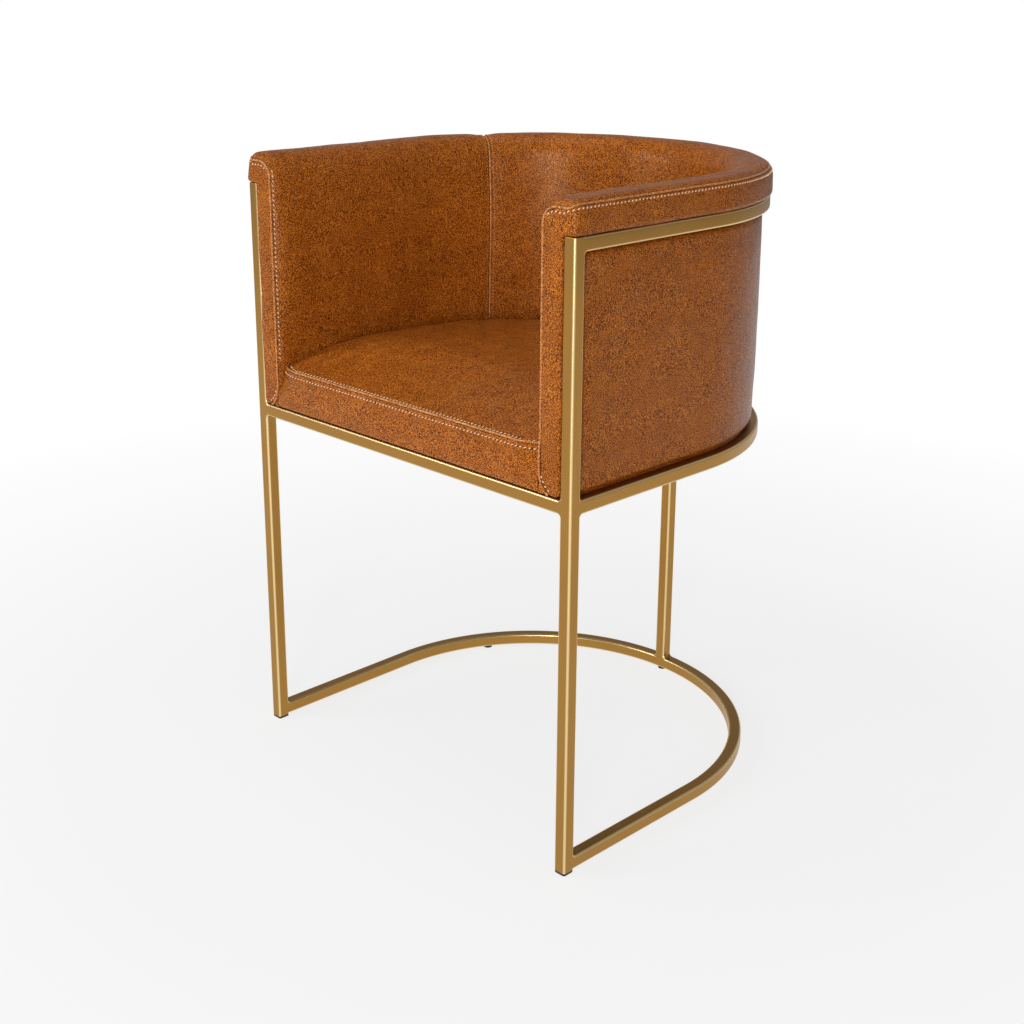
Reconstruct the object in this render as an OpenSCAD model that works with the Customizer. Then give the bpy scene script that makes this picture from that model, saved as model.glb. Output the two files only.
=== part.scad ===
// Barrel dining chair: a square-tube metal frame that carries an upholstered bucket shell and seat.
// Millimetres, +Z up, front towards -Y, origin on the floor under the middle of the chair.

/* [Frame] */
// Width over the outer faces of the two front posts
frame_w = 540; // [500:5:600]
// Straight run of each side, from the front of the post to the start of the bend
side_run = 230; // [190:5:270]
// Outer size of the square tube
tube = 16; // [14:1:18]
// Wall of the square tube
tube_wall = 1.5; // [1:0.1:2]
// Corner radius of the square tube
tube_r = 2.5; // [2:0.1:3]
// Height of the top rail's upper face
top_rail_z = 715; // [690:5:740]
// Height of the seat rail's upper face
seat_rail_z = 440; // [410:5:460]
// Gap between the floor and the underside of the frame
floor_gap = 3; // [2:0.5:5]
// Radius of the small weld fillets
weld_r = 4; // [3:0.5:6]

/* [Feet] */
// Diameter of the round pads under the floor rail
pad_d = 12; // [8:1:12]
// Angle of the outer pads, measured from the back of the floor rail
pad_a = 60; // [40:1:70]
// Depth of the foot plugs inside the posts
plug_depth = 14; // [8:1:20]

/* [Shell] */
// Distance from the frame's outer face to the inner leather
arm_inset = 45; // [42:1:55]
// Height of the shell's crest
shell_top = 752; // [745:1:765]
// Radius of the inner edge along the crest
crest_r = 25; // [20:1:25]
// Radius of the outer edge of the top roll
roll_r = 16; // [14:1:18]
// How far the top roll stands out past the frame
roll_out = 2; // [0:0.5:4]
// Gap between the top rail and the underside of the roll
roll_gap = 2.5; // [1.5:0.5:5]
// Radius of the lower edge of the roll
roll_low_r = 5; // [4:0.5:6]
// Thickness of the leather
leather_t = 1.2; // [1:0.1:1.5]
// Clearance between the frame and the outer leather
frame_clear = 0.4; // [0.3:0.1:1]
// Thickness of the bent plywood core
core_t = 10; // [8:1:12]
// Thickness of the wadding under the outer leather
wadding_t = 3; // [2:0.5:4]
// How far the outer padding swells out between the rails
outer_swell = 8; // [4:1:10]
// Clearance round foam and wadding
foam_clear = 0.2; // [0.1:0.1:0.4]
// Distance from the crest down to the top of the core
core_drop = 14; // [10:1:20]
// Thickness of the foam on the front of each arm
arm_foam_t = 6.8; // [5:0.2:10]
// How far the arm fronts stand out in front of the posts
front_out = 2; // [0:0.5:4]

/* [Seams] */
// Diameter of the piping
piping_d = 3.2; // [2.5:0.1:4]
// Angle of the inner seams, measured from the middle of the back
seam_a = 62; // [45:1:75]
// Clearance between a leather edge and the piping
piping_clear = 0.2; // [0.2:0.1:0.5]

/* [Seat] */
// Height of the gap between the seat rail and the upholstery
seat_gap = 2; // [1:0.5:4]
// Thickness of the plywood seat board
board_t = 15; // [12:1:18]
// Height of the seat's front seam above the seat rail
seat_front_h = 54; // [40:1:60]
// Rise of the cushion behind the front seam
seat_rise = 14; // [6:1:20]
// Distance over which the cushion rises
rise_run = 110; // [60:5:150]
// Fall of the cushion towards the back
seat_fall = 9; // [0:1:15]
// Crown of the cushion above its edges
crown = 8; // [2:1:15]
// How far the cushion's rim rolls down beside the arms
rim_drop = 7; // [3:1:10]
// Clearance between the cushion and the arms
cushion_clear = 0.4; // [0.3:0.1:1]
// Radius of the cushion's front corners
corner_r = 14; // [8:1:20]
// Thickness of the cloth under the seat
cloth_t = 0.6; // [0.4:0.1:1]

/* [Fixings] */
// Diameter of the seat screws
screw_d = 6; // [5:1:8]
// Thickness of the welded seat tabs
tab_t = 3; // [2:0.5:4]
// Length of the seat tabs, measured from the rail
tab_len = 38; // [32:1:50]
// Width of the seat tabs
tab_w = 30; // [24:1:40]
// Drop from the seat rail's upper face to the upper face of the tabs
tab_drop = 4; // [3:0.5:6]
// Distance of the front tabs from the middle
tab_front_x = 130; // [90:5:180]
// Distance of the side tabs from the front
tab_side_y = 215; // [150:5:228]
// Diameter of the studs that hold the shell to the top rail
stud_d = 5; // [4:1:6]
// Distance of the side studs from the front
stud_side_y = 80; // [50:5:180]
// Diameter of the wood screws between core and seat board
wood_screw_d = 4; // [3.5:0.5:5]
// Length of the wood screws
wood_screw_l = 34; // [28:1:40]
// Clearance round a screw or stud in its hole
hole_clear = 0.3; // [0.2:0.1:0.5]
// Number of staples along each side of the cloth under the seat
side_staples = 5; // [3:1:8]

/* [Hidden] */
$fn = 96;

half_w = frame_w / 2;
frame_d = side_run + half_w;
eps = 0.01;

// Heights
floor_rail_z = floor_gap + tube;
top_cap_z = top_rail_z - tube_wall;
shell_z = seat_rail_z + seat_gap;
board_z = shell_z + leather_t;
board_top = board_z + board_t;
cloth_z = board_z - cloth_t;
roll_z = top_rail_z + roll_gap;
split_z = roll_z - 1;
core_top = shell_top - core_drop;
seam_z = seat_rail_z + seat_front_h;
tab_z = seat_rail_z - tab_drop;
stud_z = top_rail_z - tube / 2;
board_mid = board_z + board_t / 2;

// Insets from the frame's outer face, outside to inside
leather_in = tube + frame_clear;
wadding_in = leather_in + leather_t;
core_in = wadding_in + wadding_t;
foam_in = core_in + core_t;
skin_in = arm_inset - leather_t;

// The swell of the outer padding
swell_low = shell_z + outer_swell;
swell_high = top_rail_z - tube - seat_gap - outer_swell;
swell_y = tube + weld_r;

// The arm fronts
front_y = -front_out;
foam_front_y = front_y + leather_t;
core_front_y = foam_front_y + arm_foam_t;

// Piping
pipe_r = piping_d / 2;
pipe_gap = pipe_r + piping_clear;
pipe_diag = pipe_r / sqrt(2);
pipe_y = foam_front_y - pipe_diag;
bead_r = pipe_r + 0.1;
roll_c = [roll_r - roll_out, shell_top - roll_r];
crest_c = [arm_inset - crest_r, shell_top - crest_r];
pipe_ring = roll_r - leather_t + pipe_r;
band_a = 135;
seam_end_a = band_a - 10;
pipe_uz = roll_c + pipe_ring * [cos(band_a), sin(band_a)];
front_end = pipe_y - pipe_r;
mid_y = (frame_d + roll_out + front_end) / 2;

// Cushion and board
border_turn = 12;
border_half = half_w - skin_in - pipe_diag - pipe_gap;
cushion_in = arm_inset + cushion_clear;
cushion_r = half_w - cushion_in;
cushion_y = foam_front_y + leather_t;
cushion_c = [0, side_run * 0.85];
ring_s = [0.2, 0.4, 0.58, 0.74, 0.86, 0.94, 0.98, 1];

// Small hardware in proportion to its screw
washer_d = screw_d * 2;
washer_t = 1.2;
head_d = screw_d * 1.8;
head_h = screw_d * 0.55;
hole_d = screw_d + 2 * hole_clear;
barrel_d = screw_d + 2.4;
flange_d = screw_d * 3;
flange_t = 1.5;
spacer_d = screw_d * 2.8;
tab_hole = foam_in + flange_d / 2 + 4;
screw_top = board_top - flange_t - hole_clear;
stud_hole_d = stud_d + 2 * hole_clear;
stud_nut_d = stud_d * 2;
stud_nut_t = stud_d * 0.8;
screw_angles = [-72, -24, 24, 72];
stud_angles = [-seam_a, 0, seam_a];
staple_w = 10;
staple_wire = 0.8;
staple_leg = 5;
staple_in = (foam_in + leather_t + tab_hole - spacer_d / 2) / 2;

brass = "#a8823f";
steel = "#b9bcc0";
tan = "#96552a";
ply = "#c9a676";
foam = "#e9dfb6";
black = "#222222";

// The parts are drawn with y = 0 at the front of the posts, then moved so that the chair is centred
module place() {
    translate([0, -mid_y, 0]) children();
}

// Section of the square tube, centred
module tube_section(grow = 0, r = tube_r) {
    s = tube + 2 * grow;
    c = r + grow;
    square([s - 2 * c, s], center = true);
    square([s, s - 2 * c], center = true);
    for (x = [-1, 1], y = [-1, 1]) translate([x * (s / 2 - c), y * (s / 2 - c)]) circle(c);
}

module hollow_section() {
    difference() {
        tube_section();
        tube_section(-tube_wall);
    }
}

// Turns a section drawn as (inset, height) into (x, height) on the right side
module to_right() {
    translate([half_w, 0]) mirror([1, 0]) children();
}

// Extrudes an (inset, height) section along both sides, from y0 to y1
module along_sides(y0, y1) {
    for (s = [0, 1]) mirror([s, 0, 0]) translate([0, y1, 0]) rotate([90, 0, 0])
        linear_extrude(y1 - y0) to_right() children();
}

// Sweeps an (inset, height) section along both sides and round the back
module u_sweep(y0) {
    translate([0, side_run, 0]) rotate_extrude(angle = 180) to_right() children();
    along_sides(y0, side_run) children();
}

module u_rail(top_z) {
    u_sweep(tube) translate([tube / 2, top_z - tube / 2]) hollow_section();
}

// Places children at the outer face with -Y pointing into the chair
module on_bend(a) {
    translate([0, side_run, 0]) rotate([0, 0, -a]) translate([0, half_w, 0]) children();
}

module on_side(s, y) {
    translate([s * half_w, y, 0]) rotate([0, 0, -90 * s]) children();
}

module on_front(x) {
    translate([x, 0, 0]) rotate([0, 0, 180]) children();
}

module at_tabs() {
    on_bend(0) children();
    for (s = [-1, 1]) on_side(s, tab_side_y) children();
    for (s = [-1, 1]) on_front(s * tab_front_x) children();
}

module at_studs() {
    for (a = stud_angles) on_bend(a) children();
    for (s = [-1, 1]) on_side(s, stud_side_y) children();
}

module at_core_screws() {
    for (a = screw_angles) on_bend(a) children();
    for (s = [-1, 1], k = [0.2, 0.6]) on_side(s, side_run * k) children();
}

// A rod that points into the chair from inset a to inset b
module rod(d, a, b, z) {
    translate([0, -a, z]) rotate([90, 0, 0]) cylinder(d = d, h = b - a);
}

module post() {
    translate([-tube / 2, tube / 2, floor_gap]) linear_extrude(top_cap_z - floor_gap) hollow_section();
}

module front_post_left() {
    color(brass) place() mirror([1, 0, 0]) translate([half_w, 0, 0]) post();
}

module front_post_right() {
    color(brass) place() translate([half_w, 0, 0]) post();
}

module front_rail() {
    color(brass) place() translate([-(half_w - tube), tube / 2, seat_rail_z - tube / 2])
        rotate([90, 0, 90]) linear_extrude(frame_w - 2 * tube) hollow_section();
}

module seat_rail() {
    color(brass) place() u_rail(seat_rail_z);
}

module top_rail() {
    color(brass) place() u_rail(top_rail_z);
}

module floor_rail() {
    color(brass) place() u_rail(floor_rail_z);
}

module rear_leg() {
    color(brass) place() translate([0, frame_d - tube / 2, floor_rail_z])
        linear_extrude(seat_rail_z - tube - floor_rail_z) hollow_section();
}

module post_caps() {
    color(brass) place() for (s = [-1, 1]) translate([s * (half_w - tube / 2), tube / 2, top_cap_z])
        linear_extrude(tube_wall) tube_section();
}

// A concave fillet in the corner between the X axis and the Y axis, or -Y where it lies under a rail
module fillet(under) {
    h = tube - 2 * tube_r;
    mirror([0, under ? 1 : 0, 0]) translate([0, 0, -h / 2]) linear_extrude(h) difference() {
        square(weld_r);
        translate([weld_r, weld_r]) circle(weld_r);
    }
}

// Welds of the right post: to the three side rails behind it, and to the front rail
module post_welds() {
    for (z = [top_rail_z - tube, seat_rail_z - tube])
        translate([half_w - tube / 2, tube, z]) rotate([90, 0, 90]) fillet(true);
    for (z = [seat_rail_z, floor_rail_z])
        translate([half_w - tube / 2, tube, z]) rotate([90, 0, 90]) fillet(false);
    translate([half_w - tube, tube / 2, seat_rail_z]) rotate([90, 0, 0]) mirror([1, 0, 0]) fillet(false);
    translate([half_w - tube, tube / 2, seat_rail_z - tube])
        rotate([90, 0, 0]) mirror([1, 0, 0]) fillet(true);
}

module leg_welds() {
    translate([tube / 2, frame_d - tube / 2, floor_rail_z]) rotate([90, 0, 0]) fillet(false);
    translate([tube / 2, frame_d - tube / 2, seat_rail_z - tube]) rotate([90, 0, 0]) fillet(true);
}

module weld_fillets() {
    color(brass) place() for (s = [0, 1]) mirror([s, 0, 0]) {
        post_welds();
        leg_welds();
    }
}

module foot_plugs() {
    inner = tube - 2 * tube_wall - 2 * hole_clear;
    color(black) place() for (s = [-1, 1]) translate([s * (half_w - tube / 2), tube / 2, 0]) {
        linear_extrude(floor_gap) tube_section(-0.5);
        translate([-inner / 2, -inner / 2, floor_gap - eps]) cube([inner, inner, plug_depth]);
    }
}

module rail_pads() {
    color(black) place() {
        for (a = [-pad_a, 0, pad_a]) on_bend(a) translate([0, -tube / 2, 0])
            cylinder(d = pad_d, h = floor_gap);
    }
}

module tab_plate() {
    translate([-tab_w / 2, -tube - tab_len, tab_z - tab_t]) cube([tab_w, tab_len + tube_r, tab_t]);
}

module seat_tabs() {
    color(brass) place() difference() {
        intersection() {
            at_tabs() tab_plate();
            linear_extrude(seat_rail_z) seat_plan(tube, tube);
        }
        at_tabs() translate([0, -tab_hole, 0]) cylinder(d = hole_d, h = seat_rail_z);
    }
}

module seat_spacers() {
    color(black) place() at_tabs() translate([0, -tab_hole, tab_z]) difference() {
        cylinder(d = spacer_d, h = cloth_z - tab_z);
        translate([0, 0, -1]) cylinder(d = hole_d, h = cloth_z);
    }
}

module seat_screws() {
    z = tab_z - tab_t - washer_t;
    color(steel) place() at_tabs() translate([0, -tab_hole, 0]) {
        difference() {
            translate([0, 0, z - head_h]) cylinder(d = head_d, h = head_h);
            translate([0, 0, z - head_h - eps]) cylinder(d = screw_d * 0.65, h = head_h * 0.6, $fn = 6);
        }
        translate([0, 0, z - eps]) cylinder(d = screw_d, h = screw_top - z);
    }
}

module seat_washers() {
    color(steel) place() at_tabs() translate([0, -tab_hole, tab_z - tab_t - washer_t]) difference() {
        cylinder(d = washer_d, h = washer_t);
        translate([0, 0, -1]) cylinder(d = hole_d, h = washer_t + 2);
    }
}

module seat_tee_nuts() {
    h = board_t - 5;
    color(steel) place() at_tabs() translate([0, -tab_hole, board_top]) difference() {
        union() {
            translate([0, 0, -flange_t]) cylinder(d = flange_d, h = flange_t);
            translate([0, 0, -h]) cylinder(d = barrel_d, h = h);
        }
        translate([0, 0, -h - 1]) cylinder(d = hole_d, h = h + 2);
    }
}

module shell_studs() {
    color(steel) place() at_studs() rod(stud_d, tube, foam_in + stud_nut_t + 2, stud_z);
}

module shell_nuts() {
    color(steel) place() at_studs() difference() {
        rod(stud_nut_d, foam_in + foam_clear, foam_in + stud_nut_t, stud_z);
        rod(stud_hole_d, foam_in, foam_in + stud_nut_t + 1, stud_z);
    }
}

// Outline of the upholstered shell, drawn as (inset, height) and drawn in by o
module shell_section(o = 0) {
    translate([leather_in + o, shell_z + o])
        square([arm_inset - leather_in - 2 * o, crest_c[1] - shell_z - o]);
    intersection() {
        translate(crest_c) circle(crest_r - o);
        translate(crest_c) square(crest_r);
    }
    translate(roll_c) circle(roll_r - o);
    translate([roll_c[0], roll_z + o])
        square([crest_c[0] - roll_c[0], shell_top - roll_z - 2 * o]);
    translate([o - roll_out, roll_z + roll_low_r])
        square([roll_r - o, roll_c[1] - roll_z - roll_low_r]);
    translate([roll_low_r - roll_out, roll_z + roll_low_r]) circle(roll_low_r - o);
    translate([roll_low_r - roll_out, roll_z + o])
        square([crest_c[0] - roll_low_r + roll_out, roll_low_r - o + eps]);
}

module skin_section() {
    difference() {
        shell_section();
        shell_section(leather_t);
        translate(pipe_uz) circle(pipe_gap);
    }
}

// Part of the section plane outside the piping on the roll
module outer_side() {
    intersection() {
        translate([-half_w / 2, split_z]) square([half_w / 2 + core_in, shell_top - split_z]);
        translate(roll_c) rotate(band_a) translate([-half_w, 0]) square([2 * half_w, half_w]);
    }
}

module core_section(o = 0) {
    translate([core_in - o, board_z]) square([core_t + 2 * o, core_top - board_z + o]);
}

module shell_core() {
    color(ply) place() difference() {
        u_sweep(core_front_y) core_section();
        at_studs() rod(stud_hole_d, core_in - 1, foam_in + 1, stud_z);
        at_core_screws() rod(wood_screw_d + 2 * hole_clear, core_in - 1, foam_in + 1, board_mid);
        at_core_screws() rod(2 * wood_screw_d + 2 * hole_clear, core_in - 1, core_in + wood_screw_d / 2
            + hole_clear, board_mid);
    }
}

module core_screws() {
    color(steel) place() at_core_screws() {
        rod(2 * wood_screw_d, core_in + hole_clear, core_in + wood_screw_d / 2, board_mid);
        rod(wood_screw_d, core_in + 1, core_in + wood_screw_l, board_mid);
    }
}

// Section of the outer padding that swells out between the rails, drawn in by o
module swell_section(o = 0) {
    r = outer_swell - o;
    translate([leather_in - r, swell_low]) square([r + leather_t + wadding_t / 2, swell_high - swell_low]);
    for (z = [swell_low, swell_high]) translate([leather_in, z]) circle(r);
}

module outer_wadding() {
    color(foam) place() difference() {
        union() {
            u_sweep(core_front_y) translate([wadding_in + foam_clear, board_z + foam_clear])
                square([wadding_t - 2 * foam_clear, split_z - board_z - 2 * foam_clear]);
            u_sweep(swell_y + leather_t + foam_clear) intersection() {
                swell_section(leather_t + foam_clear);
                square([core_in - foam_clear, shell_top]);
            }
        }
        at_studs() rod(stud_hole_d, wadding_in, core_in + 1, stud_z);
    }
}

module inner_foam() {
    color(foam) place() difference() {
        u_sweep(core_front_y) translate([foam_in + foam_clear, board_top + foam_clear])
            square([skin_in - foam_in - 2 * foam_clear, split_z - board_top - 2 * foam_clear]);
        at_studs() rod(stud_nut_d + 2, foam_in, foam_in + stud_nut_t + 3, stud_z);
    }
}

module roll_foam() {
    color(foam) place() u_sweep(core_front_y) difference() {
        intersection() {
            shell_section(leather_t + foam_clear);
            translate([-half_w / 2, split_z + foam_clear]) square([half_w, shell_top]);
        }
        core_section(foam_clear);
    }
}

module arm_foam() {
    color(foam) place() translate([0, core_front_y - foam_clear, 0]) rotate([90, 0, 0])
        linear_extrude(arm_foam_t - 2 * foam_clear) to_right() shell_section(leather_t + foam_clear);
}

module arm_foam_left() {
    mirror([1, 0, 0]) arm_foam();
}

module arm_foam_right() {
    arm_foam();
}

// Section of the outer leather, with its turn under the shell
module outer_section() {
    translate([leather_in, shell_z]) square([leather_t, split_z - shell_z]);
    translate([leather_in, shell_z]) square([foam_in - leather_in, leather_t]);
}

module outer_leather() {
    color(tan) place() difference() {
        union() {
            along_sides(foam_front_y, swell_y) outer_section();
            u_sweep(swell_y) difference() {
                union() {
                    outer_section();
                    intersection() {
                        swell_section();
                        square([wadding_in, shell_top]);
                    }
                }
                swell_section(leather_t);
            }
            along_sides(swell_y, swell_y + leather_t) intersection() {
                swell_section();
                square([wadding_in, shell_top]);
            }
        }
        at_studs() rod(stud_hole_d, leather_in - 1, wadding_in + 1, stud_z);
    }
}

// The band over the roll and down the front of both arms
module band_leather() {
    color(tan) place() {
        u_sweep(foam_front_y) intersection() {
            skin_section();
            outer_side();
        }
        for (s = [0, 1]) mirror([s, 0, 0]) translate([0, foam_front_y, 0]) rotate([90, 0, 0])
            linear_extrude(leather_t) to_right() {
                shell_section(pipe_gap + leather_t - pipe_diag);
                difference() {
                    intersection() {
                        shell_section();
                        outer_side();
                    }
                    translate(pipe_uz) circle(pipe_gap);
                }
                translate([leather_in, shell_z]) square([foam_in - leather_in, split_z - shell_z]);
            }
    }
}

// The inner leather runs from the seat board over the crest to the piping
module inner_skin() {
    u_sweep(foam_front_y + leather_t) difference() {
        skin_section();
        outer_side();
        translate([-half_w, 0]) square([2 * half_w, board_top]);
        translate([-half_w, 0]) square([half_w + foam_in, split_z]);
    }
}

// Plan sector from angle a to angle b, measured from the middle of the back
module sector(a, b) {
    far = 2 * frame_w;
    translate([0, side_run, -1]) linear_extrude(shell_top + 2)
        polygon([[0, 0], far * [sin(a), cos(a)], far * [sin((a + b) / 2), cos((a + b) / 2)],
            far * [sin(b), cos(b)]]);
}

// Slot for the piping of an inner seam
module seam_slot() {
    for (a = [-seam_a, seam_a]) on_bend(a)
        translate([-pipe_gap, -half_w / 2, 0]) cube([2 * pipe_gap, half_w, shell_top + 1]);
}

module inner_leather_side(s) {
    color(tan) place() difference() {
        inner_skin();
        sector(-seam_a, seam_a);
        seam_slot();
        translate([s > 0 ? -frame_w : 0, -side_run, 0]) cube([frame_w, 3 * frame_d, shell_top + 1]);
    }
}

module inner_leather_left() {
    inner_leather_side(-1);
}

module inner_leather_right() {
    inner_leather_side(1);
}

module inner_leather_back() {
    color(tan) place() difference() {
        intersection() {
            inner_skin();
            sector(-seam_a, seam_a);
        }
        seam_slot();
    }
}

// Piping on the arc of a circle in the section plane, from angle a to angle b
module pipe_arc(c, r, a, b) {
    translate([c[0], c[1], 0]) rotate([0, 0, a]) rotate_extrude(angle = b - a)
        translate([r, 0]) circle(pipe_r, $fn = 24);
}

module pipe_line(p, q) {
    v = q - p;
    translate([p[0], p[1], 0]) rotate([0, 90, atan2(v[1], v[0])]) rotate([0, 0, -90])
        cylinder(r = pipe_r, h = norm(v), $fn = 24);
}

// Piping over the crest in the section plane, as far as angle b on the roll
module crest_piping(ring, low_z, b) {
    far_r = crest_r - leather_t + ring;
    near_r = roll_r - leather_t + ring;
    pipe_line([crest_c[0] + far_r, low_z], [crest_c[0] + far_r, crest_c[1]]);
    pipe_arc(crest_c, far_r, 0, 90);
    pipe_line([crest_c[0], crest_c[1] + far_r], [roll_c[0], roll_c[1] + near_r]);
    pipe_arc(roll_c, near_r, 90, b);
}

module band_piping() {
    color(tan) place() {
        u_sweep(pipe_y) translate(pipe_uz) circle(pipe_r, $fn = 24);
        for (s = [0, 1]) mirror([s, 0, 0]) {
            translate([half_w, pipe_y, 0]) rotate([90, 0, 0]) mirror([1, 0, 0])
                crest_piping(pipe_diag, board_z, band_a);
            translate([half_w - pipe_uz[0], pipe_y, pipe_uz[1]]) sphere(bead_r, $fn = 24);
        }
    }
}

module seam_piping(a) {
    color(tan) place() on_bend(a) rotate([90, 0, -90])
        crest_piping(pipe_r, seam_low_z, seam_end_a);
}

module seam_piping_left() {
    seam_piping(-seam_a);
}

module seam_piping_right() {
    seam_piping(seam_a);
}

// Plan of the space between the arms, drawn in by o
module seat_plan(o, y0) {
    intersection() {
        translate([0, side_run]) circle(half_w - o);
        translate([-half_w, side_run]) square([frame_w, half_w]);
    }
    translate([o - half_w, y0]) square([frame_w - 2 * o, side_run - y0]);
}

module seat_board() {
    color(ply) place() difference() {
        translate([0, 0, board_z]) linear_extrude(board_t) {
            seat_plan(foam_in, core_front_y);
            translate([-border_half, cushion_y]) square([2 * border_half, side_run / 2]);
        }
        at_tabs() translate([0, -tab_hole, 0]) cylinder(d = barrel_d + 2 * hole_clear, h = board_top + 1);
        at_tabs() translate([0, -tab_hole, board_top - flange_t])
            cylinder(d = flange_d + 2 * hole_clear, h = board_t);
        at_core_screws() rod(wood_screw_d + 2 * hole_clear, foam_in - 1, core_in + wood_screw_l + 1,
            board_mid);
        at_staples() staple(hole_clear / 2);
    }
}

// Edge points of the cushion, anticlockwise from the left end of the front
function front_pts(r, y0) = [for (k = [-4 : 4]) [k / 4 * (r - corner_r), y0]];
function corner_pt(r, y0, s) = [s * (r - corner_r * 0.29), y0 + corner_r * 0.29];
function side_pts(r, y0) = [for (k = [0 : 4]) [r, y0 + corner_r + (side_run - y0 - corner_r) * k / 5]];
function bend_pts(r) = [for (k = [0 : 24]) [r * cos(k * 7.5), side_run + r * sin(k * 7.5)]];
function flip(v) = [for (k = [len(v) - 1 : -1 : 0]) [-v[k][0], v[k][1]]];
function edge_pts(r, y0) = concat(front_pts(r, y0), [corner_pt(r, y0, 1)], side_pts(r, y0), bend_pts(r),
    flip(side_pts(r, y0)), [corner_pt(r, y0, -1)]);

// Height of the cushion's rim seam, and of its top at share s of the way to the edge
function clamp01(v) = max(0, min(1, v));
function rim_z(y) = seam_z + seat_rise * (1 - pow(1 - clamp01(y / rise_run), 2))
    - seat_fall * clamp01((y - rise_run) / (frame_d - arm_inset - rise_run));
function rim_roll(s, y) = s > 0.93 ? rim_drop * pow((s - 0.93) / 0.07, 2) * clamp01(y / corner_r) : 0;
function top_z(s, y) = rim_z(y) + crown * (1 - s * s) - rim_roll(s, y);

// Where the piping of an inner seam comes out above the cushion
seam_low_z = top_z(1, side_run + cushion_r * cos(seam_a)) + piping_d;

function cushion_ring(edge, s, drop) = [for (p = edge) let (q = cushion_c + s * (p - cushion_c))
    [q[0], q[1], top_z(s, q[1]) - drop]];
function flat_ring(edge, z) = [for (p = edge) [p[0], p[1], z]];

// Closed skin over a stack of rings, each with n points, between two end points
function stack_faces(n, m) = concat(
    [for (k = [0 : n - 1]) [0, 1 + (k + 1) % n, 1 + k]],
    [for (j = [0 : m - 2], k = [0 : n - 1]) [1 + j * n + k, 1 + j * n + (k + 1) % n, 1 + (j + 1) * n + k]],
    [for (j = [0 : m - 2], k = [0 : n - 1])
        [1 + j * n + (k + 1) % n, 1 + (j + 1) * n + (k + 1) % n, 1 + (j + 1) * n + k]],
    [for (k = [0 : n - 1]) [1 + m * n, 1 + (m - 1) * n + k, 1 + (m - 1) * n + (k + 1) % n]]);

module seat_foam() {
    edge = edge_pts(cushion_r - leather_t, cushion_y + cushion_clear);
    drop = leather_t + 2 * cushion_clear;
    rings = [for (s = ring_s) cushion_ring(edge, s, drop)];
    low = flat_ring(edge, board_top);
    points = concat([[cushion_c[0], cushion_c[1], top_z(0, cushion_c[1]) - drop]],
        [for (r = rings) each r], low, [[cushion_c[0], cushion_c[1], board_top]]);
    color(foam) place() polyhedron(points, stack_faces(len(edge), len(ring_s) + 1));
}

module seat_leather() {
    edge = edge_pts(cushion_r, cushion_y);
    up = [for (s = ring_s) cushion_ring(edge, s, 0)];
    down = [for (k = [len(ring_s) - 1 : -1 : 0]) cushion_ring(edge, ring_s[k], leather_t)];
    points = concat([[cushion_c[0], cushion_c[1], top_z(0, cushion_c[1])]],
        [for (r = up) each r], [for (r = down) each r],
        [[cushion_c[0], cushion_c[1], top_z(0, cushion_c[1]) - leather_t]]);
    color(tan) place() polyhedron(points, stack_faces(len(edge), 2 * len(ring_s)));
}

module seat_border() {
    h = seam_z - piping_d - piping_clear - shell_z;
    color(tan) place() translate([-border_half, foam_front_y, shell_z]) {
        cube([2 * border_half, leather_t, h]);
        cube([2 * border_half, border_turn, leather_t]);
    }
}

// Piping along the front of the cushion and part of the way round its front corners
module seat_piping() {
    half = cushion_r - corner_r;
    arc_r = corner_r + pipe_gap;
    color(tan) place() translate([0, cushion_y + corner_r, seam_z - pipe_r]) {
        translate([-half, -arc_r, 0]) rotate([0, 90, 0]) cylinder(r = pipe_r, h = 2 * half, $fn = 24);
        for (s = [0, 1]) mirror([s, 0, 0]) translate([half, 0, 0]) rotate([0, 0, -90])
            rotate_extrude(angle = 45) translate([arc_r, 0]) circle(pipe_r, $fn = 24);
    }
}

module dust_cloth() {
    color(black) place() difference() {
        translate([0, 0, cloth_z]) linear_extrude(cloth_t)
            seat_plan(foam_in + leather_t, foam_front_y + border_turn + leather_t);
        at_tabs() translate([0, -tab_hole, 0]) cylinder(d = hole_d, h = board_z);
        at_staples() staple(hole_clear / 2);
    }
}

// A staple with its crown under the cloth and its legs in the board, grown by g for its slots
module staple(g = 0) {
    w = staple_wire + 2 * g;
    translate([-staple_w / 2 - g, -w / 2, cloth_z - staple_wire]) cube([staple_w + 2 * g, w, staple_wire]);
    for (s = [-1, 1]) translate([s * (staple_w - staple_wire) / 2 - w / 2, -w / 2, cloth_z - staple_wire])
        cube([w, w, staple_leg + staple_wire + g]);
}

module at_staples() {
    for (a = [-75 : 30 : 75]) on_bend(a) translate([0, -staple_in, 0]) children();
    for (s = [-1, 1], k = [1 : side_staples]) on_side(s, side_run * (k - 0.5) / (side_staples + 0.5))
        translate([0, -staple_in, 0]) children();
    for (s = [-1, 1], k = [0.25, 0.75, 1.35]) on_front(s * k * tab_front_x) translate([0, -staple_in, 0])
        children();
}

module dust_cloth_staples() {
    color(steel) place() at_staples() staple();
}

front_post_left();
front_post_right();
front_rail();
seat_rail();
top_rail();
floor_rail();
rear_leg();
post_caps();
weld_fillets();
foot_plugs();
rail_pads();
seat_tabs();
seat_spacers();
seat_screws();
seat_washers();
seat_tee_nuts();
shell_studs();
shell_nuts();
shell_core();
core_screws();
outer_wadding();
inner_foam();
roll_foam();
arm_foam_left();
arm_foam_right();
outer_leather();
band_leather();
inner_leather_left();
inner_leather_back();
inner_leather_right();
band_piping();
seam_piping_left();
seam_piping_right();
seat_board();
seat_foam();
seat_leather();
seat_border();
seat_piping();
dust_cloth();
dust_cloth_staples();
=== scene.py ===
import bmesh
import bpy
import math
import numpy as np
from mathutils import Matrix, Vector, bvhtree, geometry, kdtree, noise


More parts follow.
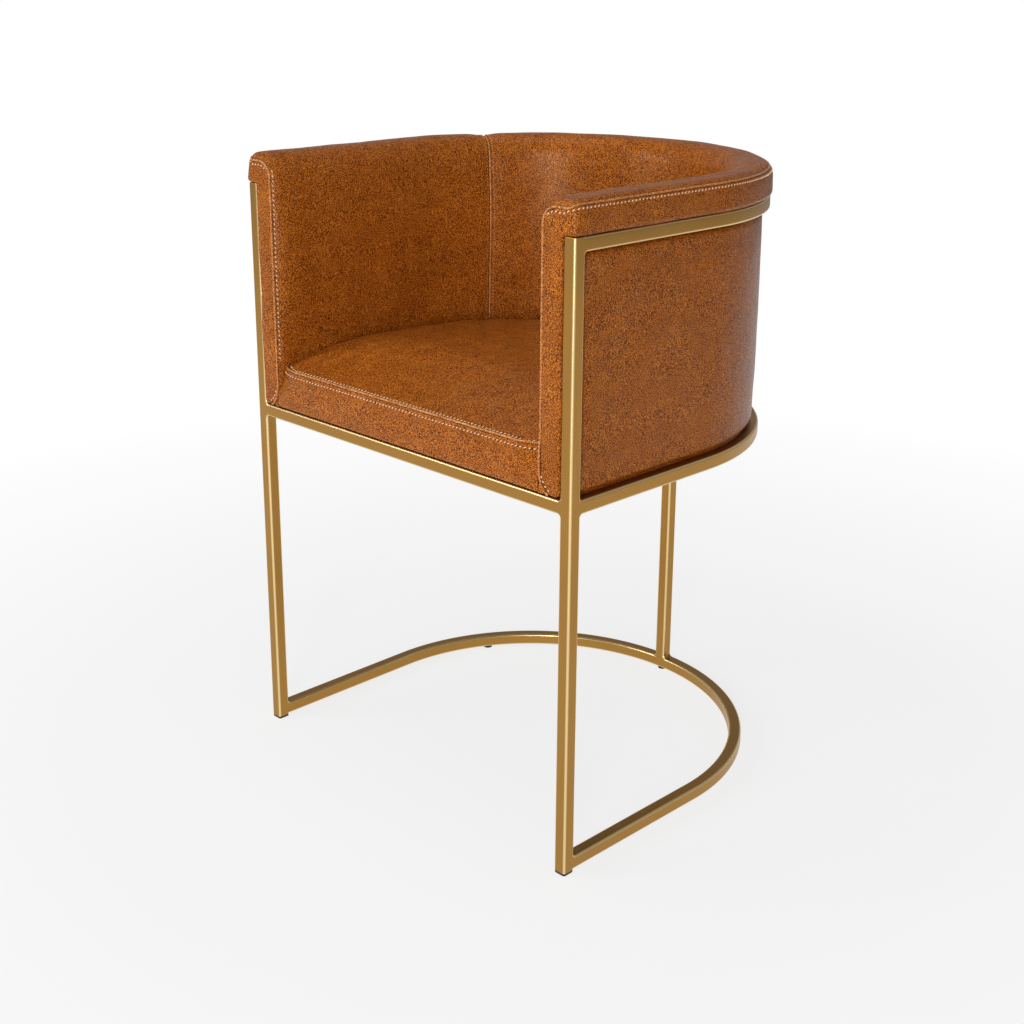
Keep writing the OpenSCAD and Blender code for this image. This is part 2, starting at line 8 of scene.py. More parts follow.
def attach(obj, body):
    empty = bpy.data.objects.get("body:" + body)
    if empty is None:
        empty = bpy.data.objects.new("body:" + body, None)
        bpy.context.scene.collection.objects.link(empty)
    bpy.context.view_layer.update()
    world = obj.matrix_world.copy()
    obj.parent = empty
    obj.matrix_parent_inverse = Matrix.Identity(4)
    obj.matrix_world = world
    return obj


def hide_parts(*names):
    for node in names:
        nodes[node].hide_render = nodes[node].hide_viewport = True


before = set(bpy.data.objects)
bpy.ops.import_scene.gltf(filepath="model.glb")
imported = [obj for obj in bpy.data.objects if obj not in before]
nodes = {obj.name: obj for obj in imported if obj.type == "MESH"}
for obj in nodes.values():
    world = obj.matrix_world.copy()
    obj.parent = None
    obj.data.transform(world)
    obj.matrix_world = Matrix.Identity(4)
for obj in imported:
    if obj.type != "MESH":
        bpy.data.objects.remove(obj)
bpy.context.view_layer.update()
midY = 249.234  # model y = 0, measured back from the posts' front faces in millimetres


def toModel(points):
    # millimetres from the posts' front faces to the model's metres
    return (np.asarray(points, float) - [0, midY, 0]) / 1000


def fromModel(points):
    # and back
    return np.asarray(points) * 1000 + [0, midY, 0]


cameraSet = {"azimuth": 45.14, "elevation": 17.53, "distance": 2007, "roll": 0.32,
             "target": (-67, 250, 369.4), "lens": 54.42, "shiftY": -0.0625}


def makeCamera(spec):
    az, el, roll = (math.radians(spec[k]) for k in ("azimuth", "elevation", "roll"))
    back = Vector((math.sin(az) * math.cos(el), -math.cos(az) * math.cos(el), math.sin(el)))
    right = Vector((0, 0, 1)).cross(back).normalized()
    up = back.cross(right)
    right, up = (math.cos(roll) * right + math.sin(roll) * up,
                 math.cos(roll) * up - math.sin(roll) * right)
    place = Vector(toModel(spec["target"])) + back * spec["distance"] / 1000
    data = bpy.data.cameras.new("camera")
    data.lens = spec["lens"]
    data.sensor_width = 36
    data.shift_y = spec["shiftY"]
    camera = bpy.data.objects.new("camera", data)
    bpy.context.scene.collection.objects.link(camera)
    camera.matrix_world = Matrix((right, up, back)).transposed().to_4x4()
    camera.location = place
    bpy.context.scene.camera = camera


makeCamera(cameraSet)
print("camera made")


def colour(r, g, b):
    # picture values 0 to 255 as the linear colour that a shader reads
    return tuple(v / 255 / 12.92 if v / 255 <= 0.04045 else ((v / 255 + 0.055) / 1.055) ** 2.4
                 for v in (r, g, b)) + (1,)


class Nodes:
    # adds nodes to one tree; an input is given a value, a socket or another node
    def __init__(self, tree):
        self.tree = tree

    def add(self, kind, inputs=None, **values):
        node = self.tree.nodes.new(kind)
        for key, value in values.items():
            setattr(node, key, value)
        for key, value in (inputs or {}).items():
            self.put(node.inputs[key], value)
        return node

    def put(self, socket, value):
        if isinstance(value, bpy.types.Node):
            value = value.outputs[0]
        if isinstance(value, bpy.types.NodeSocket):
            self.tree.links.new(value, socket)
        else:
            socket.default_value = value


class Shader(Nodes):
    # one material under construction
    def __init__(self, name, roughness=0.5, metallic=0.0, specular=0.5):
        self.material = bpy.data.materials.new(name)
        self.material.use_nodes = True
        super().__init__(self.material.node_tree)
        self.main = self.tree.nodes["Principled BSDF"]
        self.main.inputs["Roughness"].default_value = roughness
        self.main.inputs["Metallic"].default_value = metallic
        self.main.inputs["Specular IOR Level"].default_value = specular
        self.place = self.add("ShaderNodeTexCoord").outputs["Object"]

    def noise(self, scale, detail=2.0, rough=0.5, distortion=0.0, stretch=None, start=None,
              turn=0.0, shift=0.0):
        start = start or self.place
        if stretch or shift:
            start = self.add("ShaderNodeMapping", {
                "Vector": start, "Scale": stretch or (1, 1, 1), "Location": (shift, shift, shift),
                "Rotation": (turn, turn * 0.6, turn)})
        return self.add("ShaderNodeTexNoise", {
            "Vector": start, "Scale": scale, "Detail": detail, "Roughness": rough,
            "Distortion": distortion}).outputs["Fac"]

    def span(self, value, low, high, outLow=0.0, outHigh=1.0):
        return self.add("ShaderNodeMapRange", {
            "Value": value, "From Min": low, "From Max": high, "To Min": outLow,
            "To Max": outHigh}).outputs["Result"]

    def maths(self, operation, a, b=0.0):
        return self.add("ShaderNodeMath", {0: a, 1: b}, operation=operation).outputs[0]

    def mix(self, share, a, b):
        return self.add("ShaderNodeMix", {0: share, 6: a, 7: b}, data_type="RGBA").outputs[2]

    def parts(self, vector):
        return self.add("ShaderNodeSeparateXYZ", {0: vector}).outputs

    def bump(self, height, distance, strength=1.0, under=None):
        inputs = {"Strength": strength, "Distance": distance, "Height": height}
        if under:
            inputs["Normal"] = under
        return self.add("ShaderNodeBump", inputs).outputs["Normal"]

    def finish(self, base=None, roughness=None, normal=None):
        for value, socket in ((base, "Base Color"), (roughness, "Roughness"), (normal, "Normal")):
            if value is not None:
                self.put(self.main.inputs[socket], value)
        return self.material


leatherLook = {"light": (188, 106, 34), "mid": (153, 72, 14), "dark": (118, 50, 6), "pit": (54, 19, 0),
               "glint": (216, 132, 48), "tint": (1.0, 0.74, 0.48, 1), "grain": 1000,
               "roughness": (0.3, 0.42), "specular": 0.22,
               # a noise, the span of it that shows, how much of it, and the colour it brings
               "patches": ((12, 3, 0.55, 0.6), (0.38, 0.62), 0.5, "dark"),
               "clouds": ((42, 4, 0.62, 0.8), (0.46, 0.66), 0.5, "light"),
               "blots": ((95, 3, 0.6, 1.2), (0.5, 0.68), 0.35, "light"),
               # streaks rubbed where the hide has been pulled: the turn and the shift of each set
               "streaks": ((0.5, 3.1), (-0.35, 9.7))}


def makeLeather(name, look):
    s = Shader(name, specular=look["specular"])
    s.main.inputs["Specular Tint"].default_value = look["tint"]
    shades = {key: s.noise(*look[key][0]) for key in ("patches", "clouds", "blots")}
    base = colour(*look["mid"])
    for key, shade in shades.items():
        span, share, tone = look[key][1:]
        base = s.mix(s.span(shade, *span, 0.0, share), base, colour(*look[tone]))
    for turn, seed in look["streaks"]:
        streak = s.noise(30, 3, 0.65, 0.4, (0.35, 5.0, 3.0), turn=turn, shift=seed)
        where = s.noise(7, 2, 0.5, shift=seed + 4)
        share = s.maths("MULTIPLY", s.span(streak, 0.52, 0.7, 0.0, 0.55), s.span(where, 0.46, 0.62))
        base = s.mix(share, base, colour(*look["light"]))
    pores = s.noise(look["grain"], 0.4, 0.5, 0.4)
    base = s.mix(s.span(pores, 0.49, 0.59, 0.0, 0.85), base, colour(*look["pit"]))
    base = s.mix(s.span(pores, 0.38, 0.48, 0.7, 0.0), base, colour(*look["glint"]))
    normal = s.bump(s.maths("MULTIPLY", pores, -1.0), 0.0003, 0.3)
    normal = s.bump(shades["clouds"], 0.0008, 0.25, normal)
    return s.finish(base, s.span(pores, 0.3, 0.7, *look["roughness"]), normal)


# the edge colour is a painted highlight on the tube's rounded corners
brassLook = {"face": (176, 132, 67), "deep": (160, 116, 54), "edge": (248, 222, 164), "polish": 0.8,
             "roughness": (0.3, 0.38)}


def makeBrass(look):
    s = Shader("satinBrass", metallic=1.0)
    # where a point lies along the tube, and across its section
    line = s.add("ShaderNodeAttribute", attribute_name="tubePlace").outputs["Vector"]
    brushed = s.noise(1.0, 3, 0.6, 0.0, (14, 1500, 1500), line)
    haze = s.noise(9, 2, 0.5)
    base = s.mix(s.span(brushed, 0.3, 0.7, 0.0, 0.4), colour(*look["face"]), colour(*look["deep"]))
    base = s.mix(s.span(haze, 0.35, 0.7, 0.0, 0.3), base, colour(*look["deep"]))
    # painted highlight: the tube's four rounded corners get a lighter colour that stands in for the shine
    # along them
    across = [s.maths("ABSOLUTE", s.parts(line)[axis]) for axis in ("Y", "Z")]
    edge = s.span(s.maths("MINIMUM", *across), 0.0052, 0.0066, 0.0, look["polish"])
    base = s.mix(edge, base, colour(*look["edge"]))
    return s.finish(base, s.span(brushed, 0.3, 0.7, *look["roughness"]), s.bump(brushed, 0.00003, 0.2))


def makePlain(name, low, high, scale, roughness, metallic=0.0, bump=0.0001, stretch=None):
    s = Shader(name, roughness=roughness, metallic=metallic)
    grain = s.noise(scale, 3, 0.6, 0.2, stretch)
    base = s.mix(s.span(grain, 0.3, 0.7), colour(*low), colour(*high))
    return s.finish(base, s.span(grain, 0.3, 0.7, roughness - 0.06, roughness + 0.06),
                    s.bump(grain, bump, 0.4))


def makeCloth():
    # a thin woven cloth: two sets of threads crossing
    s = Shader("blackCloth", roughness=0.9, specular=0.2)
    threads = 2600.0
    waves = [s.maths("SINE", s.maths("MULTIPLY", s.parts(s.place)[axis], threads)) for axis in ("X", "Y")]
    weave = s.span(s.maths("MULTIPLY", *waves), -1.0, 1.0)
    fuzz = s.noise(900, 3, 0.6)
    base = s.mix(weave, colour(15, 15, 16), colour(46, 46, 48))
    base = s.mix(s.span(fuzz, 0.4, 0.7, 0.0, 0.4), base, colour(62, 61, 60))
    return s.finish(base, None, s.bump(weave, 0.0002, 0.5))


leather = makeLeather("tanLeather", leatherLook)
# the piping is a lighter, glossier copy of the leather; its lighter colours are a painted highlight along
# the cord
pipingLookPaintedHighlight = dict(leatherLook, light=(214, 140, 74), mid=(198, 120, 54), dark=(164, 90, 32),
                  pit=(110, 52, 14), glint=(240, 180, 116), roughness=(0.2, 0.3), specular=0.5)
pipingLeatherPaintedHighlight = makeLeather("pipingLeatherPaintedHighlight", pipingLookPaintedHighlight)
brass = makeBrass(brassLook)
thread = makePlain("creamThread", (232, 200, 158), (250, 230, 200), 2600, 0.6, bump=0.0002)
tanThread = makePlain("tanThread", (176, 116, 62), (214, 158, 100), 2600, 0.6, bump=0.0002)
zincSteel = makePlain("zincSteel", (150, 154, 160), (190, 194, 200), 260, 0.34, 1.0)
plastic = makePlain("blackPlastic", (20, 20, 21), (34, 34, 35), 900, 0.5)
plywood = makePlain("plywood", (178, 138, 92), (214, 178, 130), 40, 0.6, stretch=(1, 1, 8))
cloth = makeCloth()
print("materials made")


def link(obj):
    bpy.context.scene.collection.objects.link(obj)
    return obj


def meshObject(name, verts, faces, material=None, edges=()):
    mesh = bpy.data.meshes.new(name)
    mesh.from_pydata(*([tuple(row) for row in rows] for rows in (verts, edges, faces)))
    mesh.update()
    if material:
        mesh.materials.append(material)
    mesh.shade_smooth()
    return link(bpy.data.objects.new(name, mesh))


def pathObject(name, lines, extra=None):
    # lines in millimetres, each a list of points; a closed line ends at its first point
    verts, edges = [], []
    for line in lines:
        first = len(verts)
        closed = np.linalg.norm(np.subtract(line[0], line[-1])) < 1e-6
        verts += list(line[:-1] if closed else line)
        edges += [(i, i + 1) for i in range(first, len(verts) - 1)]
        if closed:
            edges.append((len(verts) - 1, first))
    obj = meshObject(name, toModel(verts), [], edges=edges)
    for key, rows in (extra or {}).items():
        data = obj.data.attributes.new(key, "FLOAT_VECTOR", "POINT").data
        data.foreach_set("vector", np.concatenate(rows).astype(np.float32).ravel())
    return obj


class NodeTree(Nodes):
    # a geometry node group under construction
    def __init__(self, name, inputs):
        super().__init__(bpy.data.node_groups.new(name, "GeometryNodeTree"))
        face = self.tree.interface
        face.new_socket("Geometry", in_out="INPUT", socket_type="NodeSocketGeometry")
        for label, (kind, value) in inputs.items():
            socket = face.new_socket(label, in_out="INPUT", socket_type="NodeSocket" + kind)
            if value is not None:
                socket.default_value = value
        face.new_socket("Geometry", in_out="OUTPUT", socket_type="NodeSocketGeometry")
        self.tree.is_modifier = True
        self.start = self.tree.nodes.new("NodeGroupInput")
        self.end = self.tree.nodes.new("NodeGroupOutput")

    def __getitem__(self, label):
        return self.start.outputs[label]

    def add(self, kind, inputs=None, **values):
        whole = kind.startswith(("Shader", "Function"))
        return super().add(kind if whole else "GeometryNode" + kind, inputs, **values)

    def finish(self, last):
        real = self.add("RealizeInstances", {"Geometry": last})
        painted = self.add("SetMaterial", {"Geometry": real, "Material": self["Material"]})
        self.put(self.end.inputs[0], painted)
        return self.tree


def evaluated(obj):
    graph = bpy.context.evaluated_depsgraph_get()
    return bpy.data.meshes.new_from_object(obj.evaluated_get(graph), depsgraph=graph)


def bake(obj):
    # keeps what the modifiers make as the object's own mesh
    mesh = evaluated(obj)
    obj.modifiers.clear()
    obj.data = mesh
    return mesh


def modify(obj, kind, **settings):
    modifier = obj.modifiers.new(kind.lower(), kind)
    for key, value in settings.items():
        setattr(modifier, key, value)
    return modifier


def corners(mesh):
    return np.array([v.co[:] for v in mesh.vertices])


def moveCorners(mesh, places):
    mesh.vertices.foreach_set("co", places.astype(np.float32).ravel())
    mesh.update()


def runTree(obj, tree, values, after=()):
    modifier = modify(obj, "NODES", node_group=tree)
    for item in tree.interface.items_tree:
        if item.in_out == "INPUT" and item.name in values:
            modifier[item.identifier] = values[item.name]
    for kind, settings in after:
        modify(obj, kind, **settings)
    bake(obj).name = obj.name


def own(obj, slot, *replaced):
    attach(obj, "root")
    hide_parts(*replaced)


tubeSet = {"size": 16.0, "corner": 3.0, "halfWidth": 270.0, "sideRun": 230.0, "topRail": 715.0,
           "seatRail": 440.0, "floorRail": 19.0, "floorGap": 3.0, "weld": 4.0, "sunk": 0.05,
           "bendPoints": 96, "lap": 4, "capGap": 1.2, "capDepth": 6, "capBevel": 0.7}


def makeTubeTree():
    t = NodeTree("squareTube", {"Size": ("Float", 0.016), "Corner radius": ("Float", 0.003),
                                "Corner segments": ("Int", 5), "Up": ("Vector", (0, 0, 1)),
                                "Material": ("Material", None)})
    curve = t.add("MeshToCurve", {"Mesh": t["Geometry"]})
    turned = t.add("SetCurveNormal", {"Curve": curve, "Normal": t["Up"]}, mode="FREE")
    along = t.add("CaptureAttribute", {"Geometry": turned}, domain="POINT")
    along.capture_items.new("FLOAT", "along")
    t.put(along.inputs["along"], t.add("SplineParameter").outputs["Length"])
    square = t.add("CurvePrimitiveQuadrilateral", {"Width": t["Size"], "Height": t["Size"]})
    section = t.add("FilletCurve", {"Curve": square, "Radius": t["Corner radius"],
                                    "Count": t["Corner segments"]}, mode="POLY")
    around = t.add("CaptureAttribute", {"Geometry": section}, domain="POINT")
    around.capture_items.new("VECTOR", "around")
    t.put(around.inputs["around"], t.add("InputPosition"))
    swept = t.add("CurveToMesh", {"Curve": along.outputs[0], "Profile Curve": around.outputs[0],
                                  "Fill Caps": True})
    parts = t.add("ShaderNodeSeparateXYZ", {"Vector": around.outputs["around"]})
    place = t.add("ShaderNodeCombineXYZ", {"X": along.outputs["along"], "Y": parts.outputs["X"],
                                           "Z": parts.outputs["Y"]})
    mapped = t.add("StoreNamedAttribute", {"Geometry": swept, "Name": "tubePlace"},
                   data_type="FLOAT_VECTOR", domain="POINT")
    t.put(mapped.inputs["Value"], place)
    smooth = t.add("SetShadeSmooth", {"Geometry": mapped})
    return t.finish(smooth)


tubeTree = makeTubeTree()


def makeTube(name, lines, up, replaced, grow=0.0, bevel=0.0):
    obj = pathObject(name, lines)
    after = [("WEIGHTED_NORMAL", {"keep_sharp": True, "weight": 100})]
    if bevel:
        rounding = {"width": bevel / 1000, "segments": 3, "angle_limit": math.radians(60)}
        after.insert(0, ("BEVEL", rounding))
    runTree(obj, tubeTree, {"Size": (tubeSet["size"] + grow) / 1000, "Up": up, "Material": brass,
                            "Corner radius": (tubeSet["corner"] + grow / 2) / 1000}, after)
    own(obj, "frame_brass", *replaced)


def uLine(inset, z, start):
    # plan of a rail: a straight side, the bend round the back, and the other side
    w, run = tubeSet["halfWidth"] - inset, tubeSet["sideRun"]
    side = [(w, y, z) for y in np.linspace(start, run, 8)[:-1]]
    bend = [(w * math.cos(a), run + w * math.sin(a), z)
            for a in np.linspace(0, math.pi, tubeSet["bendPoints"] + 1)]
    return side + bend + [(-x, y, h) for x, y, h in side[::-1]]


def makeFrame(spec):
    half, out, lap, sunk = spec["size"] / 2, spec["halfWidth"], spec["lap"], -2 * spec["sunk"]
    mid, back = out - half, spec["sideRun"] + out - half
    top, seat, floor = (spec[key] - half for key in ("topRail", "seatRail", "floorRail"))
    xAxis, yAxis, zAxis = (1, 0, 0), (0, 1, 0), (0, 0, 1)
    for name, z in (("seat", seat), ("top", top), ("floor", floor)):
        makeTube(name + "Rail", [uLine(half, z, lap)], zAxis, [name + "_rail"], sunk)
    for side, s in (("Left", -1), ("Right", 1)):
        line = [(s * mid, half, z) for z in (spec["floorGap"], spec["topRail"] - spec["capGap"])]
        makeTube("frontPost" + side, [line], xAxis, ["front_post_" + side.lower()])
    caps = [[(s * mid, half, spec["topRail"] - d) for d in (spec["capDepth"], 0)] for s in (-1, 1)]
    makeTube("postCaps", caps, xAxis, ["post_caps"], sunk / 2, spec["capBevel"])
    makeTube("frontRail", [[(x, half, seat) for x in (lap - out, out - lap)]], zAxis, ["front_rail"], sunk)
    makeTube("rearLeg", [[(0, back, z) for z in (floor, seat)]], xAxis, ["rear_leg"], sunk)
    # small welds: the tube's own section, swept round each corner
    r = half + spec["weld"]
    turn = [(r * (1 - math.sin(a)), r * (1 - math.cos(a))) for a in np.linspace(0, math.pi / 2, 9)]
    side, front = [], []
    for s in (-1, 1):
        for z, d in ((top, -1), (seat, -1), (seat, 1), (floor, 1)):
            side.append([(s * mid, half + p, z + d * q) for p, q in turn])
        for z, d in ((seat, -1), (floor, 1)):
            front.append([(s * (mid - p), half, seat + d * q) for p, q in turn])
            front.append([(s * p, back, z + d * q) for p, q in turn])
    makeTube("sideWelds", side, xAxis, ["weld_fillets"], 2 * sunk)
    makeTube("frontWelds", front, yAxis, ["weld_fillets"], 2 * sunk)


makeFrame(tubeSet)
print("frame made")

shellSet = {"inset": 45.0, "gapInset": 16.4, "low": 442.0, "crest": (20.0, 727.0, 25.0),
            "roll": (14.0, 736.0, 16.0), "rollLow": (3.0, 720.3, 5.0), "frontY": -2.0, "innerLow": 458.0,
            # how round the arm's front edge is from place to place
            "edge": 3.0, "crestEdge": 11.0, "lowEdge": 5.6, "postEdge": 3.2, "footEdge": 0.6,
            "footRun": (486, 500), "footRound": 7.0, "stripBack": 13, "leadCols": 7,
            # the seams, and how deep and how wide they press the leather in
            "seamAngle": 62.0, "seamBack": 2.2, "seamTurn": 9.0, "bandGroove": (2.1, 1.8),
            "bandDip": (0.5, 6.0), "seamGroove": (3.4, 2.2), "seamDip": (2.2, 13.0),
            "footSeam": ((31.0, 442.3), (33.5, 443.6), (36.5, 445.8), (39.5, 448.8), (42.0, 452.4),
                         (43.6, 456.6), (44.3, 461.5)),
            "stitchOff": 5.2, "innerStitchOff": 5.0,
            # the swell between the seams; its waves have a height and a scale
            "bulge": 8.5, "bulgeLow": 464, "bulgeRun": 284, "swellRun": 34.0, "pillow": (3.4, 17.0),
            "waves": ((0.9, 0.016), (0.35, 0.05)), "crease": 0.5, "calm": 12, "thickness": 1.2}
halfWidth, sideRun = tubeSet["halfWidth"], tubeSet["sideRun"]
uLength = 2 * sideRun + math.pi * halfWidth  # along the frame's outer face


def alongU(u, s):
    # inset u and distance s along the U, as x and y
    u, s = np.broadcast_arrays(np.asarray(u, float), np.asarray(s, float))
    w = halfWidth - u
    a = np.clip((s - sideRun) / halfWidth, 0, math.pi)
    x, y = w * np.cos(a), sideRun + w * np.sin(a)
    y = np.where(s < sideRun, s, np.where(s > uLength - sideRun, uLength - s, y))
    return x, y


def ease(t):
    t = np.clip(t, 0, 1)
    return t * t * (3 - 2 * t)


def clamp(t):
    return max(0.0, min(1.0, t))


def ripple(*place):
    return noise.noise(Vector(place))


def level(x, y, z):
    # a row of points at one height
    return np.column_stack([x, np.broadcast_to(y, len(x)), np.full(len(x), z)])


def makeOutline(spec):
    # round the arm's front: inset, height, the way in as a vector, and how round the edge is there
    cx, cz, cr = spec["crest"]
    rx, rz, rr = spec["roll"]
    lx, lz, lr = spec["rollLow"]
    inner, gap, low, middle, turn = (
        spec[key] for key in ("inset", "gapInset", "low", "innerLow", "footRound"))
    edge, crest, lowEdge, post, foot = (
        spec[key] for key in ("edge", "crestEdge", "lowEdge", "postEdge", "footEdge"))
    under = lz - lr
    rows, marks = [], {}

    def bend(x, z, r, a, b, n, radii):
        for i, t in enumerate(np.radians(np.linspace(a, b, n + 1))[1:]):
            c, s = math.cos(t), math.sin(t)
            size = radii[0] + (radii[1] - radii[0]) * float(ease((i + 1) / n))
            rows.append((x + r * c, z + r * s, -c, -s, size))

    def upright(u, heights, way, span, radii):
        rows.extend((u, z, way, 0, float(np.interp(z, span, radii))) for z in heights)

    def across(insets, z, span, radii):
        rows.extend((u, z, 0, 1, float(np.interp(u, span, radii))) for u in insets)

    heights = np.concatenate([np.linspace(low, middle, 12)[:-1], np.linspace(middle, cz, 48)])
    upright(inner, heights, -1, spec["footRun"], (foot, edge))
    rows[0] = (inner, low, -1, 1, foot)
    marks["inner"], marks["crest"] = 11, len(rows) - 1
    bend(cx, cz, cr, 0, 90, 18, (edge, crest))
    rows.append((rx, rz + rr, 0, -1, crest))
    marks["seam"] = len(rows) + 12
    bend(rx, rz, rr, 90, 180, 26, (crest, crest))
    upright(rx - rr, np.linspace(rz, lz, 7)[1:], 1, (lz, rz), (lowEdge, crest))
    bend(lx, lz, lr, 180, 270, 8, (lowEdge, lowEdge))
    across(np.linspace(lx, gap, 7)[1:], under, (lx, gap), (lowEdge, post))
    marks["corner"] = len(rows) - 1
    rows += [(gap, under, math.sin(a), math.cos(a), post) for a in np.radians(np.linspace(0, 90, 7))[1:]]
    rows += [(gap, z, 1, 0, post) for z in np.linspace(under, low + turn, 58)[1:]]
    for a in np.radians(np.linspace(180, 270, 9))[1:]:
        c, s = math.cos(a), math.sin(a)
        rows.append((gap + turn * (1 + c), low + turn * (1 + s), -c, -s, post))
    marks["foot"] = len(rows) - 1
    across(np.linspace(gap + turn, inner, 10)[1:-1], low, (gap + turn, inner), (post, foot))
    return np.array(rows), marks


outline, marks = makeOutline(shellSet)
outlineRun = np.r_[0, np.cumsum(np.linalg.norm(np.diff(outline[:, :2], axis=0), axis=1))]
seamRun, crestRun = outlineRun[marks["seam"]], outlineRun[marks["crest"]]


def seamBack(s, spec):
    # how far back from the flat front the seam is, at a distance s along the outline
    r = np.interp(s, outlineRun, outline[:, 4])
    back = min(spec["seamBack"], r * math.pi / 4)
    q = s - (seamRun - spec["seamTurn"])
    if q > 0:
        back += spec["seamTurn"] - math.sqrt(max(0, spec["seamTurn"] ** 2 - q * q))
    return back


def shellPoint(s, v):
    # a point of the leather: s along the outline of the right arm, v back from its flat front
    u, z, nu, nz, r = (np.interp(s, outlineRun, column) for column in outline.T)
    size = math.hypot(nu, nz)
    if v >= r * math.pi / 2:
        x, y = alongU(u, shellSet["frontY"] + r + v - r * math.pi / 2)
        return np.array([float(x), float(y), z])
    if v < 0:
        d, h = r - v, 0
    else:
        d, h = r * (1 - math.cos(math.pi / 2 - v / r)), r * (1 - math.sin(math.pi / 2 - v / r))
    return np.array([halfWidth - (u + nu / size * d), shellSet["frontY"] + h, z + nz / size * d])


def mirrored(points):
    return [p * [-1, 1, 1] for p in points[::-1]]


def makeSeams(spec):
    # the piped seam round the arms' fronts and along the roll, and the stitches beside it
    front, turn, off = spec["frontY"], spec["seamTurn"], spec["stitchOff"]
    foot = [np.array((halfWidth - u, front, z)) for u, z in spec["footSeam"]]
    start, turnStart = outlineRun[marks["inner"] + 2], seamRun - turn
    path = [(s, seamBack(s, spec), 0.0) for s in np.arange(start, turnStart, 3.0)]
    back = seamBack(turnStart, spec)
    path += [(turnStart + turn * math.sin(a), back + turn * (1 - math.cos(a)), a)
             for a in np.radians(np.linspace(0, 90, 13))]
    r = outline[marks["seam"], 4]
    half = uLength / 2 - front - r + r * math.pi / 2  # to the middle of the back
    path += [(seamRun, v, math.pi / 2) for v in np.linspace(path[-1][1] + 3, half, 210)]
    right = foot + [shellPoint(s, v) for s, v, a in path]
    # one row follows the roll, from the crest's front round; each arm has two, inside and at its foot
    begin = crestRun + spec["crest"][2] * math.radians(28)
    row = [shellPoint(s + off * math.sin(a), v - off * math.cos(a)) for s, v, a in path if s > begin]
    stitched = [row + mirrored(row)[1:]]
    inside = np.arange(outlineRun[marks["inner"] + 8], crestRun + 6, 3.0)
    for row in ([shellPoint(s, seamBack(s, spec) + spec["innerStitchOff"]) for s in inside],
                [p + [off * 0.62, 0, off * 0.78] for p in foot[1:-1]]):
        stitched += [row, mirrored(row)]
    return right + mirrored(right)[1:], stitched


def makeInnerLines(station, off):
    # an inner seam, and the row of stitches on each side of it
    u, z = outline[marks["inner"] + 5:marks["seam"] - 1, :2].T
    return [np.column_stack([*alongU(u, station + shift), z]) for shift in (0, -off, off)]


bandSeam, bandStitches = makeSeams(shellSet)
seamStations = [sideRun + halfWidth * math.radians(90 + s * shellSet["seamAngle"]) for s in (-1, 1)]
innerLines = [makeInnerLines(station, shellSet["innerStitchOff"]) for station in seamStations]
innerSeams = [lines[0] for lines in innerLines]


def makeStations():
    # distances along the U, closer together at the two inner seams
    steps = np.array([1, 2, 3, 4, 5.5, 7, 9, 12, 16])
    fine = np.concatenate([c + np.r_[-steps, 0, steps] for c in seamStations])
    margin, count, clear = 24, 205, 19
    coarse = [s for s in np.linspace(margin, uLength - margin, count)
              if min(abs(s - c) for c in seamStations) > clear]
    return np.sort(np.concatenate([fine, coarse]))


stations = makeStations()


def gridFaces(grid, base=0, closed=False):
    # quads over rows of points, numbered from base on; closed joins the last column to the first
    index = base + np.arange(grid.shape[0] * grid.shape[1]).reshape(grid.shape[:2])
    if closed:
        index = np.column_stack([index, index[:, 0]])
    a, b, c, d = index[:-1, :-1], index[1:, :-1], index[1:, 1:], index[:-1, 1:]
    return np.stack([a, b, c, d], axis=-1).reshape(-1, 4).tolist()


def weld(points, faces):
    # merges equal points; a face that has shrunk to a line becomes None
    unique, back = np.unique(np.round(points, 3), axis=0, return_inverse=True)
    back = back.ravel().tolist()
    merged = [list(dict.fromkeys(back[i] for i in f)) for f in faces]
    return unique, [f if len(f) > 2 else None for f in merged]


def vertexNormals(points, faces):
    normals = np.zeros_like(points)
    for f in faces:
        p = points[f]
        a, b = (p[2] - p[0], p[3] - p[1]) if len(f) == 4 else (p[1] - p[0], p[2] - p[0])
        normals[f] += np.cross(a, b)
    return normals / np.maximum(np.linalg.norm(normals, axis=1, keepdims=True), 1e-9)


def pointTree(points):
    tree = kdtree.KDTree(len(points))
    for i, p in enumerate(points):
        tree.insert(p, i)
    tree.balance()
    return tree


def flatFill(loop, steps=(3.6, 4.4), clear=1.6):
    # triangles over the flat of the arm's front, inside a loop of points
    keep = [0]
    for i in range(1, len(loop)):
        if min(np.linalg.norm(loop[i] - loop[k]) for k in (keep[-1], 0)) > 1e-3:
            keep.append(i)
    ring = loop[keep]
    tree = pointTree([(*p, 0) for p in ring])
    extra = []
    for u in np.arange(ring[:, 0].min() + 2, ring[:, 0].max(), steps[0]):
        for z in np.arange(ring[:, 1].min() + 2, ring[:, 1].max(), steps[1]):
            crossings = sum((b > z) != (d > z) and u < a + (z - b) / (d - b) * (c - a)
                            for (a, b), (c, d) in zip(ring, np.roll(ring, -1, axis=0)))
            if crossings % 2 and tree.find((u, z, 0))[2] > clear:
                extra.append((u, z))
    given = np.concatenate([ring, extra])
    n = len(ring)
    verts, _, faces, origin, _, _ = geometry.delaunay_2d_cdt(
        [Vector(p) for p in given], [(i, (i + 1) % n) for i in range(n)], [], 1, 1e-4)
    return np.array([given[o[0]] if o else tuple(v) for v, o in zip(verts, origin)]), faces


